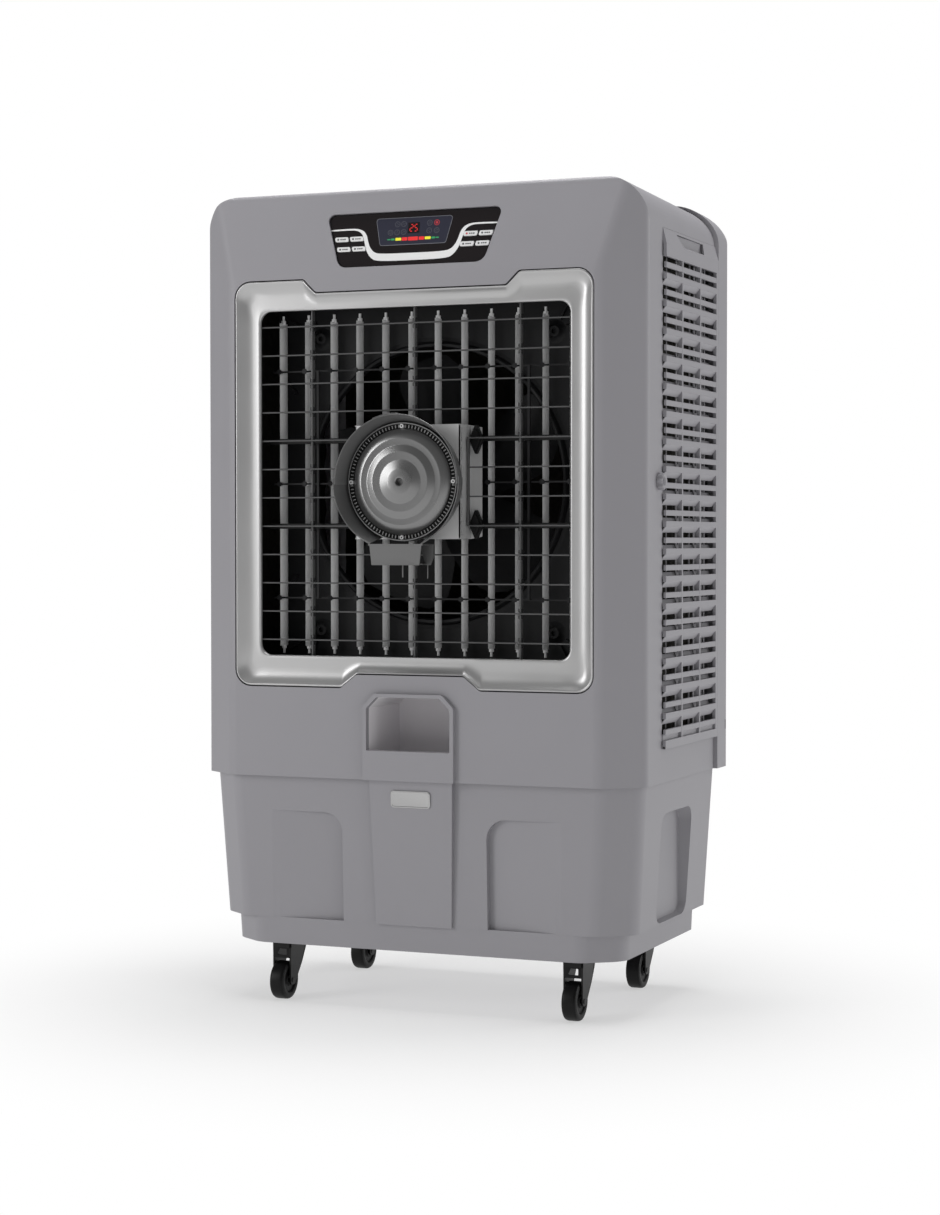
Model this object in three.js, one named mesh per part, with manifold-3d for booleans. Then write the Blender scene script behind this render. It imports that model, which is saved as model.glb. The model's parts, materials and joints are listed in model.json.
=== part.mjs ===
// A tall evaporative cooler on casters, in millimetres, +Z up.
// The origin is on the floor, under the middle of the object's box. The front faces -Y.
import * as THREE from "three";
import { mergeVertices } from "three/addons/utils/BufferGeometryUtils.js";
import Module from "manifold-3d";

const wasm = await Module();
wasm.setup();

// ---- Driving dimensions ----
const GAP = 0.4; // air between pieces that touch
const FRONT = -214; // plane of the front face
const REAR = 272; // plane of the back face
const HALF = 402; // half width of the front shell
const PROUD = 7; // how far the louvred sides and the rear shell stand out of it
const SHELL_Z = 395; // lower edge of both upper shells
const TOP = 1385; // top of the front shell
const REAR_TOP = 1389; // top of the rear shell
const CHAMFER = { x: 67, y: 49 }; // upright front corners
const CORNER = 68; // rounded top corners
const WALL = 4;
const SEAM = 209; // where the front shell meets the rear shell
const SEAM_ROLL = 60; // radius of that seam's turn on to the top
const LEAN_Z = 1240; // above this the front leans back
const LEAN = 0.2; // millimetres back for each millimetre up
const AXIS_Z = 895; // height of the fan, motor and bezel centre

const BEZEL = { half: 325, bottom: 549.7, top: 1238.7, inner: 282, innerBottom: 602, innerTop: 1188 };
const GUARD = { y: -198, depth: 8, pitch: 48.5, bars: 12, thick: 2.2, ribX: 190 };
const BLADE = { y: -146, chord: 30, thick: 4, bottom: 616, top: 1172, pitch: 48.4, count: 12 };
const LINK = { arm: 13, heights: [699, 895, 1088], tieX: 193.5, bar: 3 };
const PANEL = { front: -89, bottom: 452, rampFrom: 1288, top: 1314, sheet: 6 };
const SLOT = { bottom: 466, period: 45.5, rows: 18, height: 33 };
const SIDE_COLUMNS = [[-82, -4], [5, 98], [108, 196]];
const REAR_COLUMNS = [[-310, -191], [-183, -64], [-56, 56], [64, 183], [191, 310]];
const PORT = { half: 76, bottom: 445, top: 535, depth: 130, padHalf: 82.6, padTop: 541, proud: 10 };
const TANK = { top: 394.6, bottom: 149, front: -200, rear: 252, halfTop: 393, halfBottom: 378, wall: 5 };
const PLINTH = { bottom: 104, front: -188, rear: 243, half: 357 };
const MOTOR = { rim: -272, face: -256, cowl: 114, plate: -222, back: -172, square: 95, lip: 20 };
const FAN = { plate: -96, bore: 232, radius: 222, blades: 5 };
const WHEEL = { radius: 33, width: 24, x: 269, trail: 23, axles: [-144, 188] };
const [PAD_LOW, PAD_HIGH] = [-196, -210]; // the raised middle leans with the tank: its face below and above
const DRAIN = { x: 60, z: 178, radius: 12 };
const GLAND = { x: -352, z: 432, radius: 13, bore: 4 };
const KNOB = { y: -108, radius: 14.5, proud: 11 };
const TILT = Math.PI / 2 - Math.atan(LEAN); // turns a flat panel into the leaning fascia
const FACE_Z = 1302.5; // height of the control panel's centre
const FACE_Y = FRONT + LEAN * (FACE_Z - LEAN_Z);

// ---- Materials ----
const finish = (color, roughness, metalness = 0) =>
  new THREE.MeshStandardMaterial({ color, roughness, metalness });
const GREY = finish(0x8f8d92, 0.55);
const GREY_DARK = finish(0x6f6c71, 0.6);
const SILVER = finish(0xb9bcbd, 0.35, 0.7);
const BLACK = finish(0x18181a, 0.6);
const GLOSS_BLACK = finish(0x141214, 0.12);
const WHITE = finish(0xe8e8e8, 0.4);
const BLADE_GREY = finish(0x9b9ea0, 0.5);
const STEEL = finish(0x9c9fa0, 0.4, 0.8);
const TREAD = finish(0x111112, 0.75);
const CELLULOSE = finish(0x7b6a4d, 0.95);
const HOSE = finish(0x2b2b2e, 0.6);
const FLOAT = finish(0xd8d4c8, 0.5);

// ---- Solids ----
// A three.js geometry as a solid that can be joined and cut.
function solid(geometry, matrix) {
  const bare = geometry.index ? geometry.toNonIndexed() : geometry.clone();
  bare.deleteAttribute("normal");
  bare.deleteAttribute("uv");
  if (matrix) bare.applyMatrix4(matrix);
  const merged = mergeVertices(bare, 1e-4);
  const build = (triVerts) =>
    new wasm.Manifold(
      new wasm.Mesh({ numProp: 3, vertProperties: merged.attributes.position.array, triVerts }),
    );
  const triangles = new Uint32Array(merged.index.array);
  const made = build(triangles);
  return made.volume() > 0 ? made : build(triangles.reverse());
}

function geometryOf(body) {
  const mesh = body.getMesh();
  const geometry = new THREE.BufferGeometry();
  geometry.setAttribute("position", new THREE.BufferAttribute(mesh.vertProperties, 3));
  geometry.setIndex(new THREE.BufferAttribute(mesh.triVerts, 1));
  geometry.computeVertexNormals();
  return geometry;
}

const join = (bodies) => bodies.reduce((whole, body) => whole.add(body));
const cut = (body, tools) => tools.reduce((rest, tool) => rest.subtract(tool), body);

// The local axes (u, v, w) of an outline that is extruded along the named axis.
const FRAMES = {
  x: new THREE.Matrix4().makeBasis(
    new THREE.Vector3(0, 1, 0),
    new THREE.Vector3(0, 0, 1),
    new THREE.Vector3(1, 0, 0),
  ),
  y: new THREE.Matrix4().makeBasis(
    new THREE.Vector3(1, 0, 0),
    new THREE.Vector3(0, 0, 1),
    new THREE.Vector3(0, -1, 0),
  ),
  z: new THREE.Matrix4(),
};

// An outline of corners [u, v, radius], each corner with a radius becoming an arc.
function outline(corners, steps = 4) {
  const path = [];
  corners.forEach(([u, v, radius], i) => {
    const here = new THREE.Vector2(u, v);
    if (!radius) return path.push(here);
    const [pu, pv] = corners[(i + corners.length - 1) % corners.length];
    const [nu, nv] = corners[(i + 1) % corners.length];
    const before = new THREE.Vector2(pu, pv).sub(here).normalize();
    const after = new THREE.Vector2(nu, nv).sub(here).normalize();
    const half = Math.acos(before.dot(after)) / 2;
    const centre = before.clone().add(after).normalize().multiplyScalar(radius / Math.sin(half)).add(here);
    const start = before.multiplyScalar(radius / Math.tan(half)).add(here).sub(centre);
    const end = after.multiplyScalar(radius / Math.tan(half)).add(here).sub(centre);
    const sweep = Math.atan2(start.cross(end), start.dot(end));
    for (let k = 0; k <= steps; k++)
      path.push(start.clone().rotateAround(new THREE.Vector2(), (sweep * k) / steps).add(centre));
  });
  return path;
}

// The outline (u, v) between two places on an axis: x takes (y, z), y takes (x, z), z takes (x, y).
function prism(axis, path, from, to, matrix) {
  const geometry = new THREE.ExtrudeGeometry(new THREE.Shape(path), {
    depth: to - from,
    bevelEnabled: false,
  });
  geometry.translate(0, 0, axis === "y" ? -to : from);
  geometry.applyMatrix4(FRAMES[axis]);
  return solid(geometry, matrix);
}

const rect = (u0, v0, u1, v1, radius = 0, steps = 2) =>
  outline([[u0, v0, radius], [u1, v0, radius], [u1, v1, radius], [u0, v1, radius]], steps);

const box = (x0, y0, z0, x1, y1, z1) => prism("z", rect(x0, y0, x1, y1), z0, z1);
// A box on the left (s = -1) or the right (s = 1), its x given outwards from the middle.
const boxOn = (s, x0, y0, z0, x1, y1, z1) =>
  box(Math.min(s * x0, s * x1), y0, z0, Math.max(s * x0, s * x1), y1, z1);

// A turned body: its profile [radius, distance along the axis] goes round the axis through centre.
const TURNS = {
  x: new THREE.Matrix4().makeRotationZ(-Math.PI / 2),
  y: new THREE.Matrix4(),
  z: new THREE.Matrix4().makeRotationX(Math.PI / 2),
};
function turned(axis, profile, centre, sides) {
  const points = profile.map(([r, along]) => new THREE.Vector2(r, along));
  const geometry = new THREE.LatheGeometry(points, sides);
  geometry.applyMatrix4(TURNS[axis]);
  geometry.translate(...centre);
  return solid(geometry);
}
const rod = (axis, radius, from, to, centre, sides = 16) =>
  turned(axis, [[0, from], [radius, from], [radius, to], [0, to]], centre, sides);
const ring = (axis, inner, outer, from, to, centre, sides = 32) =>
  turned(axis, [[inner, from], [outer, from], [outer, to], [inner, to], [inner, from]], centre, sides);

const cooler = new THREE.Group();
cooler.name = "evaporative_cooler";
function piece(name, body, material, group = cooler) {
  const mesh = new THREE.Mesh(geometryOf(body), material);
  mesh.name = name;
  group.add(mesh);
  return mesh;
}
const mirrored = (path) => path.map((p) => new THREE.Vector2(-p.x, p.y)).reverse();
const SIDES = [["left", -1], ["right", 1]];
// A body made for the right side, or its reflection for the left side.
const REFLECT = new THREE.Matrix4().makeScale(-1, 1, 1);
const onSide = (s, body) => (s > 0 ? body : solid(geometryOf(body), REFLECT));

// ---- Upper shells ----
// The plan of the body, with its two cut front corners.
const planOutline = (half, front, rear) =>
  outline([
    [-half, rear], [-half, front + CHAMFER.y], [-half + CHAMFER.x, front],
    [half - CHAMFER.x, front], [half, front + CHAMFER.y], [half, rear],
  ]);

// The body's outer form, shrunk by inset on every wall and open at the bottom.
function bodyForm(half, top, rear, inset) {
  const bottom = inset ? SHELL_Z - 50 : SHELL_Z;
  const h = half - inset;
  const front = FRONT + inset;
  const roof = top - inset;
  const plan = planOutline(h, front, rear - inset);
  const turn = CORNER - inset;
  const face = outline([[-h, bottom], [h, bottom], [h, roof, turn], [-h, roof, turn]], 7);
  const lean = LEAN * (roof - LEAN_Z);
  const side = outline([
    [front, bottom], [rear - inset, bottom], [rear - inset, roof, turn + 6],
    [front + lean, roof, 6], [front, LEAN_Z],
  ], 6);
  return prism("z", plan, bottom, roof + 1)
    .intersect(prism("y", face, front - 1, rear + 1))
    .intersect(prism("x", side, -half - 1, half + 1));
}

// The bezel's outer outline, with its notches above and below; grow widens it all round.
function bezelOutline(grow, radius, steps = 3) {
  const { half, bottom, top } = BEZEL;
  const h = half + grow;
  const [low, high] = [bottom - grow, top + grow];
  return outline([
    [-h, low, radius], [-125.5 - grow, low, 12], [-96 - grow, 573 - grow, 12],
    [96 + grow, 573 - grow, 12], [125.5 + grow, low, 12], [h, low, radius],
    [h, high, radius], [197 - grow, high, 12], [174 - grow, 1216 + grow, 12],
    [-174 + grow, 1216 + grow, 12], [-197 + grow, high, 12], [-h, high, radius],
  ], steps);
}

// The control panel's outline in the leaning fascia's own plane.
const facePlate = (grow) =>
  outline([
    [-131 - grow, -46 - grow, 20], [131 + grow, -46 - grow, 20],
    [160 + grow, 47 + grow, 11], [-160 - grow, 47 + grow, 11],
  ], 4);

const fascia = new THREE.Group();
fascia.position.set(0, FACE_Y, FACE_Z);
fascia.rotation.x = TILT;
fascia.updateMatrix();
cooler.add(fascia);

// The raised middle of the lower front, with two cut corners at its top.
const centrePad = (half, bottom) =>
  outline([[-half, bottom], [half, bottom], [half, PORT.padTop - 22], [half - 21, PORT.padTop],
    [-half + 21, PORT.padTop], [-half, PORT.padTop - 22]]);
const portHole = (grow) =>
  outline([
    [-PORT.half - grow, PORT.bottom - grow], [PORT.half + grow, PORT.bottom - grow],
    [PORT.half + grow, PORT.top - 19], [PORT.half - 19, PORT.top + grow],
    [-PORT.half + 19, PORT.top + grow], [-PORT.half - grow, PORT.top - 19],
  ]);

// The seam between the shells runs up the side and rolls forward over the top.
const aheadOfSeam = (shift) =>
  prism("x", outline([[-400, 300], [SEAM + shift, 300], [SEAM + shift, 1391 + shift, SEAM_ROLL],
    [-400, 1391 + shift]], 6), -500, 500);

function frontShell() {
  const form = bodyForm(HALF, TOP, REAR, 0).intersect(aheadOfSeam(-GAP));
  const pad = prism("y", centrePad(PORT.padHalf, SHELL_Z), FRONT - PORT.proud, FRONT + WALL);
  const sideHoles = SIDES.map(([, s]) =>
    boxOn(s, 380, PANEL.front - GAP, PANEL.bottom - GAP, 420, REAR, PANEL.top + GAP));
  return cut(form.subtract(bodyForm(HALF, TOP, REAR, WALL)).add(pad), [
    prism("y", bezelOutline(1.4, 29), FRONT - 30, FRONT + 60),
    prism("z", facePlate(0.8), -40, 30, fascia.matrix),
    prism("y", portHole(0), FRONT - 30, FRONT + 30),
    ...sideHoles,
    rod("x", 4.6, -420, 420, [0, KNOB.y, AXIS_Z], 12),
  ]);
}

function rearShell() {
  const half = HALF + PROUD;
  const form = bodyForm(half, REAR_TOP, REAR, 0).subtract(aheadOfSeam(0));
  return cut(form.subtract(bodyForm(half, REAR_TOP, REAR, WALL)), [
    prism("y", rect(-330, 470, 330, 1290, 14), REAR - 20, REAR + 20),
    rod("y", GLAND.radius + GAP, REAR - 20, REAR + 20, [GLAND.x, 0, GLAND.z], 16),
  ]);
}

piece("front_shell", frontShell(), GREY);
piece("rear_shell", rearShell(), GREY);

// ---- Deck between the shells and the tank ----
function deck() {
  const half = HALF - WALL - GAP;
  const front = FRONT + WALL + GAP;
  const plate = prism("z", planOutline(half, front, REAR - WALL - GAP), SHELL_Z, SHELL_Z + 5);
  const curb = box(-345, 226, SHELL_Z, 345, 229, SHELL_Z + 30);
  const sideCurbs = SIDES.map(([, s]) => boxOn(s, 345, -90, SHELL_Z, 348, 229, SHELL_Z + 30));
  return cut(join([plate, curb, ...sideCurbs]), [
    box(-300, -170, 300, 300, 214, 500),
    box(-PORT.half - 6, FRONT, 300, PORT.half + 6, -160, 500),
    ...SIDES.map(([, s]) => boxOn(s, 355, -72, 300, 380, 200, 500)),
    box(-330, 238, 300, 330, 256, 500),
  ]);
}
piece("deck", deck(), GREY_DARK);

// ---- Bezel round the air outlet ----
function bezel() {
  const { inner, innerBottom, innerTop } = BEZEL;
  const opening = (grow) =>
    rect(-inner - grow, innerBottom - grow, inner + grow, innerTop + grow, 20 + grow, 3);
  const body = prism("y", bezelOutline(0, 28), FRONT, GUARD.y - GAP);
  // The flange grips the back of the shell's wall and ends below the leaning fascia.
  const flange = prism("y", bezelOutline(5, 33), FRONT + WALL + GAP, FRONT + WALL + GAP + 2.5)
    .intersect(box(-500, FRONT, 0, 500, FRONT + 30, LEAN_Z - 1));
  // The frame falls away to the opening in two steps, so its lit edge reads as a roll.
  const steps = [[14, 2.5], [6, 6]].map(([grow, deep]) =>
    prism("y", opening(grow), FRONT - 10, FRONT + deep));
  return cut(body.add(flange), [...steps, prism("y", opening(0), FRONT - 10, FRONT + 40)]);
}
piece("bezel", bezel(), SILVER);

// ---- Fixed guard: level bars, three upright ribs and a rim behind the bezel ----
function guard() {
  const { y, depth, pitch, bars, thick, ribX } = GUARD;
  const reach = BEZEL.inner + 12;
  const rim = prism("y", rect(-reach, 590, reach, 1200), y, y + depth)
    .subtract(prism("y", rect(-reach + 8, 598, reach - 8, 1192), y - 1, y + depth + 1));
  const level = [];
  for (let i = 0; i < bars; i++) {
    const z = AXIS_Z + (i - (bars - 1) / 2) * pitch;
    level.push(box(-reach + 4, y, z - thick / 2, reach - 4, y + depth, z + thick / 2));
  }
  const ribs = [-ribX, 0, ribX].map((x) => box(x - 1.5, y + depth - 2, 594, x + 1.5, y + depth + 10, 1196));
  const gapZ = 1.5 * pitch;
  const posts = SIDES.map(([, s]) =>
    boxOn(s, 97.5, y, AXIS_Z - gapZ - 1, 100.5, y + depth, AXIS_Z + gapZ + 1));
  const bay = box(-97.5, y - 5, AXIS_Z - gapZ - 6, 97.5, y + depth + 15, AXIS_Z + gapZ + 6);
  const lipRoom = SIDES.map(([, s]) =>
    boxOn(s, 97.4, y + depth, AXIS_Z - 100, 118, y + 40, AXIS_Z + 100));
  return cut(join([rim, ...level, ...ribs]).subtract(bay).add(join(posts)), lipRoom);
}
piece("outlet_guard", guard(), BLACK);

// ---- Control panel, eight keys and a plain name plate ----
const KEY = { width: 24.5, height: 8.2, slant: 0.3, pitch: 27.6 };
const keyOutline = (grow) => {
  const [w, h] = [KEY.width / 2 + grow, KEY.height / 2 + grow];
  const lean = KEY.slant * h;
  return outline([[-w - lean, -h, 1.6], [w - lean, -h, 1.6], [w + lean, h, 1.6], [-w + lean, h, 1.6]], 1);
};
const KEY_ROWS = [[103.6, 3.9], [98.5, -13.6]]; // the inner key's centre in the upper and the lower row
const KEYS = SIDES.flatMap(([, s]) =>
  KEY_ROWS.flatMap(([u, v]) => [0, 1].map((k) => ({ s, u: s * (u + k * KEY.pitch), v }))));
function controlPanel() {
  const plate = prism("z", facePlate(0), -12, -5);
  return cut(plate, KEYS.map((key) => {
    const path = key.s > 0 ? keyOutline(GAP) : mirrored(keyOutline(GAP));
    return prism("z", path, -20, 0, new THREE.Matrix4().makeTranslation(key.u, key.v, 0));
  }));
}
piece("control_panel", controlPanel(), GLOSS_BLACK, fascia);
KEYS.forEach((key, i) => {
  const path = key.s > 0 ? keyOutline(0) : mirrored(keyOutline(0));
  const mesh = piece("key_" + (i + 1), prism("z", path, -13.5, -3.8), WHITE, fascia);
  mesh.position.set(key.u, key.v, 0);
});

// ---- Tank and plinth ----
// A tapering block between two rectangles with cut corners, the lower one first.
function taperedBlock(low, high, corner) {
  const layer = ({ half, front, rear, z }) =>
    [[-half, rear - 25], [-half, front + 45], [-half + corner, front], [half - corner, front],
      [half, front + 45], [half, rear - 25], [half - 25, rear], [-half + 25, rear]]
      .map(([x, y]) => [x, y, z]);
  const rings = [layer(low), layer(high)];
  const n = rings[0].length;
  const positions = rings.flat(2);
  const index = [];
  for (let i = 0; i < n; i++) {
    const j = (i + 1) % n;
    index.push(i, j, n + j, i, n + j, n + i);
  }
  for (let i = 1; i < n - 1; i++) index.push(0, i + 1, i, n, n + i, n + i + 1);
  const geometry = new THREE.BufferGeometry();
  geometry.setAttribute("position", new THREE.Float32BufferAttribute(positions, 3));
  geometry.setIndex(index);
  return solid(geometry);
}
function tankForm(inset) {
  const { top, bottom, front, rear, halfTop, halfBottom } = TANK;
  const lift = inset ? 1 : 0;
  return taperedBlock(
    { half: halfBottom - inset, front: front + 9 + inset, rear: rear - 4 - inset, z: bottom },
    { half: halfTop - inset, front: front + inset, rear: rear - inset, z: top + lift }, 59);
}
function tank() {
  const { bottom, front, wall } = TANK;
  const plinth = taperedBlock(
    { half: PLINTH.half, front: PLINTH.front, rear: PLINTH.rear, z: PLINTH.bottom },
    { half: PLINTH.half + 2, front: PLINTH.front - 2, rear: PLINTH.rear, z: bottom + 1 }, 60);
  const pad = prism("y", outline([[-69, bottom], [69, bottom], [75.5, TANK.top], [-75.5, TANK.top]]),
    front - 20, front + 12).intersect(prism("x", outline([[front + 12, bottom], [PAD_LOW, bottom],
    [PAD_HIGH, TANK.top], [front + 12, TANK.top]]), -80, 80));
  const pockets = SIDES.flatMap(([, s]) => [
    prism("y", outline([[s * 132, bottom], [s * 420, bottom], [s * 420, 335], [s * 132, 335, 26]]),
      front - 40, front + 13),
    prism("x", rect(-45, bottom + 3, 119, 336, 22), Math.min(s * 367, s * 420), Math.max(s * 367, s * 420)),
  ]);
  const outer = tankForm(0).subtract(join(pockets)).add(plinth).add(pad);
  const basin = tankForm(22).intersect(box(-500, front + 20, bottom + wall, 500, 500, 600));
  const stems = SIDES.flatMap(([, s]) => WHEEL.axles.map((y) =>
    rod("z", 5.6, 90, 122, [s * WHEEL.x, y + WHEEL.trail, 0], 12)));
  return cut(outer, [basin, ...stems, rod("y", DRAIN.radius, 200, 300, [DRAIN.x, 0, DRAIN.z], 16)]);
}
piece("tank", tank(), GREY);
const plateFace = new THREE.Matrix4()
  .makeRotationX(Math.atan2(PAD_LOW - PAD_HIGH, TANK.top - TANK.bottom))
  .setPosition(0, PAD_HIGH + ((TANK.top - 364) * (PAD_LOW - PAD_HIGH)) / (TANK.top - TANK.bottom), 364);
piece("name_plate", prism("y", rect(-36, -12, 36, 12, 5, 3), -2.5, -GAP, plateFace), SILVER);
const drainAt = [DRAIN.x, 0, DRAIN.z];
piece("drain_plug", join([
  rod("y", DRAIN.radius - 1, 205, TANK.rear, drainAt, 16),
  rod("y", 6, TANK.rear - 2, TANK.rear + 3, drainAt, 12),
  rod("y", 17, TANK.rear + 1, TANK.rear + 10, drainAt, 16),
]), BLACK);

// ---- Side and rear louvre panels ----
// The slots of one louvre panel, as tools that run right through it.
function slots(axis, columns, rows, from, to) {
  const period = (SLOT.rows / rows) * SLOT.period;
  const height = period - SLOT.period + SLOT.height;
  const tools = [];
  for (let row = 0; row < rows; row++) {
    const z = SLOT.bottom + row * period;
    columns.forEach(([a, b]) => tools.push(prism(axis, rect(a, z, b, z + height), from, to)));
  }
  return tools;
}
// A side panel stands proud of the front shell and slopes back to it at its top.
function sidePanel(s) {
  const { front, bottom, rampFrom, top, sheet } = PANEL;
  const skin = HALF + PROUD;
  const section = outline([[skin, bottom], [skin, rampFrom], [HALF + 0.5, top], [HALF + 0.5 - sheet, top],
    [skin - sheet, rampFrom], [skin - sheet, bottom]]);
  const plate = prism("y", section, front, SEAM - GAP);
  const edges = [front, SEAM - GAP - 4].map((y) => box(386, y, bottom, skin - 1, y + 4, rampFrom));
  const sill = box(386, front, bottom, skin - 1, SEAM - GAP, bottom + 4);
  const grip = [[-20, 1309], [130, 1309], [124, 1290, 5], [10, 1290, 12]];
  const around = [[-26, 1313], [136, 1313], [136, 1284], [4, 1284]];
  const boss = prism("x", outline(around), 389, HALF - 2);
  const body = cut(join([plate, ...edges, sill, boss]).intersect(aheadOfSeam(-GAP)), [
    ...slots("x", SIDE_COLUMNS, SLOT.rows, 380, 420),
    prism("x", outline(grip), skin - 16, skin + 10),
  ]);
  return onSide(s, body);
}
function rearPanel() {
  const plate = prism("y", rect(-329, 471, 329, 1289, 13), REAR - 5, REAR - 0.5);
  const rows = slots("y", REAR_COLUMNS, SLOT.rows / 2, REAR - 20, REAR + 20);
  return cut(plate, rows).add(prism("y", rect(-312, 474, 312, 490), REAR - 5, REAR - 0.5));
}
// A cooling pad is a block of corrugated paper; the film of air round it is the gap to its frame.
const PAD_Z = [SHELL_Z + 6, 1296];
const PAD_SIDE = { near: [352, -78, PAD_Z[0]], far: [384, 205, PAD_Z[1]] };
SIDES.forEach(([side, s]) => {
  piece("side_panel_" + side, sidePanel(s), GREY);
  piece("cooling_pad_" + side, boxOn(s, ...PAD_SIDE.near, ...PAD_SIDE.far), CELLULOSE);
});
piece("rear_panel", rearPanel(), GREY);
piece("cooling_pad_rear", box(-326, 231, PAD_Z[0], 326, 263, PAD_Z[1]), CELLULOSE);

// ---- Thumb knobs that lock the side panels ----
function knobOutline() {
  const path = [];
  for (let k = 0; k < 16; k++) {
    const r = KNOB.radius - (k % 2 === 0 ? 2 : 0);
    path.push(new THREE.Vector2(r, 0).rotateAround(new THREE.Vector2(), (k * Math.PI) / 8));
  }
  return path.map((p) => p.add(new THREE.Vector2(KNOB.y, AXIS_Z)));
}
SIDES.forEach(([side, s]) => {
  const head = prism("x", knobOutline(), HALF + GAP, HALF + KNOB.proud);
  const shaft = rod("x", 4, 389, HALF + 1, [0, KNOB.y, AXIS_Z], 12);
  const cam = box(386, KNOB.y - 5, AXIS_Z - 9, 389.5, KNOB.y + 5, AXIS_Z + 9);
  const body = join([head, shaft, cam]);
  piece("panel_knob_" + side, onSide(s, body), GREY);
});

// ---- Fill chute behind the port ----
function fillChute() {
  const front = FRONT + WALL + GAP;
  const outer = prism("y", portHole(3), front, front + PORT.depth);
  const skirt = box(-PORT.half - 3, front, SHELL_Z + 6, PORT.half + 3, front + PORT.depth, PORT.bottom);
  const inside = prism("y", portHole(0), front - 1, front + PORT.depth - 3);
  const drop = box(-PORT.half, front + 3, SHELL_Z, PORT.half, front + PORT.depth - 3, PORT.bottom + 1);
  return cut(outer.add(skirt), [inside, drop]);
}
piece("fill_chute", fillChute(), GREY);

// ---- Water circuit ----
const PUMP = { x: 250, y: 150, z: TANK.bottom + TANK.wall + GAP };
function pump() {
  const { x, y, z } = PUMP;
  const body = box(x - 34, y - 26, z, x + 34, y + 26, z + 42);
  const motor = rod("z", 24, z + 41, z + 84, [x, y, 0], 20);
  const spout = rod("z", 6.5, z + 41, z + 70, [x + 28, y + 18, 0], 12);
  return join([body, motor, spout]);
}
piece("water_pump", pump(), BLACK);

// The hose stands on the pump's spout, runs to the rear corner and up to the water channel.
const CHANNEL_Z = 1302;
function riserHose() {
  const x = PUMP.x + 28;
  const y = PUMP.y + 18;
  const path = new THREE.CatmullRomCurve3([
    new THREE.Vector3(x, y, PUMP.z + 71), new THREE.Vector3(x, y, 300), new THREE.Vector3(x, y, 420),
    new THREE.Vector3(315, 190, 520), new THREE.Vector3(332, 205, 640), new THREE.Vector3(332, 205, 900),
    new THREE.Vector3(332, 205, 1200), new THREE.Vector3(332, 205, CHANNEL_Z - GAP),
  ]);
  const section = [];
  for (let k = 0; k < 6; k++)
    section.push(new THREE.Vector2(7, 0).rotateAround(new THREE.Vector2(), (k * Math.PI) / 3));
  return solid(new THREE.ExtrudeGeometry(new THREE.Shape(section), { steps: 22, extrudePath: path }));
}
piece("riser_hose", riserHose(), HOSE);

// A water channel runs over the three pads and drips into them through its floor.
function waterChannel() {
  const outer = box(-384, -78, CHANNEL_Z, 384, 266, CHANNEL_Z + 22);
  const middle = box(-318, -90, CHANNEL_Z - 5, 318, 200, CHANNEL_Z + 40);
  const trough = box(-382, -76, CHANNEL_Z + 2, 382, 264, CHANNEL_Z + 40)
    .subtract(box(-320, -95, CHANNEL_Z, 320, 202, CHANNEL_Z + 60));
  return cut(outer, [middle, trough]);
}
piece("water_channel", waterChannel(), GREY_DARK);

// ---- Float valve on the tank's rear wall ----
const VALVE = { x: -230, y: 205, z: 352 };
const valveBody = join([
  rod("y", 9, VALVE.y - 18, VALVE.y + 20, [VALVE.x, 0, VALVE.z], 10),
  box(VALVE.x - 7, VALVE.y - 30, VALVE.z - 8, VALVE.x - 4, VALVE.y - 10, VALVE.z + 8),
  box(VALVE.x + 4, VALVE.y - 30, VALVE.z - 8, VALVE.x + 7, VALVE.y - 10, VALVE.z + 8),
  box(VALVE.x - 7, VALVE.y - 18, VALVE.z - 6, VALVE.x + 7, VALVE.y - 10, VALVE.z + 6),
  rod("x", 1.6, VALVE.x - 6, VALVE.x + 6, [0, VALVE.y - 25, VALVE.z], 8),
]);
piece("float_valve", valveBody, BLACK);
const floatArm = join([
  ring("x", 2.2, 5, VALVE.x - 3, VALVE.x + 3, [0, VALVE.y - 25, VALVE.z], 10),
  box(VALVE.x - 2, VALVE.y - 120, VALVE.z - 2, VALVE.x + 2, VALVE.y - 29, VALVE.z + 2),
  turned("z", [[0, -24], [20, -20], [27, -8], [27, 8], [20, 20], [0, 24]],
    [VALVE.x, VALVE.y - 140, VALVE.z], 12),
]);
piece("float_arm", floatArm, FLOAT);

// ---- Cord gland, clipped in the rear shell's hole from inside ----
const glandSeat = REAR - WALL - GAP;
piece("cord_gland", turned("y", [
  [GLAND.bore, 254], [19, 254], [19, glandSeat], [GLAND.radius, glandSeat], [GLAND.radius, REAR - 1],
  [9, REAR], [GLAND.bore, REAR], [GLAND.bore, 254],
], [GLAND.x, 0, GLAND.z], 14), BLACK);

// ---- Fan plate and fan ----
function fanPlate() {
  const plate = prism("y", rect(-300, 585, 300, 1205, 14), FAN.plate, FAN.plate + 3);
  const lip = ring("y", FAN.bore, FAN.bore + 6, FAN.plate - 9, FAN.plate + 1, [0, 0, AXIS_Z], 36);
  const bolts = SIDES.flatMap(([, s]) => [-253, 253].map((dz) =>
    rod("y", 11, FAN.plate - 6, FAN.plate + 1, [s * 216, 0, AXIS_Z + dz], 8)));
  return join([plate, lip, ...bolts]).subtract(
    rod("y", FAN.bore, FAN.plate - 20, FAN.plate + 20, [0, 0, AXIS_Z], 36));
}
piece("fan_plate", fanPlate(), BLACK);

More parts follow.
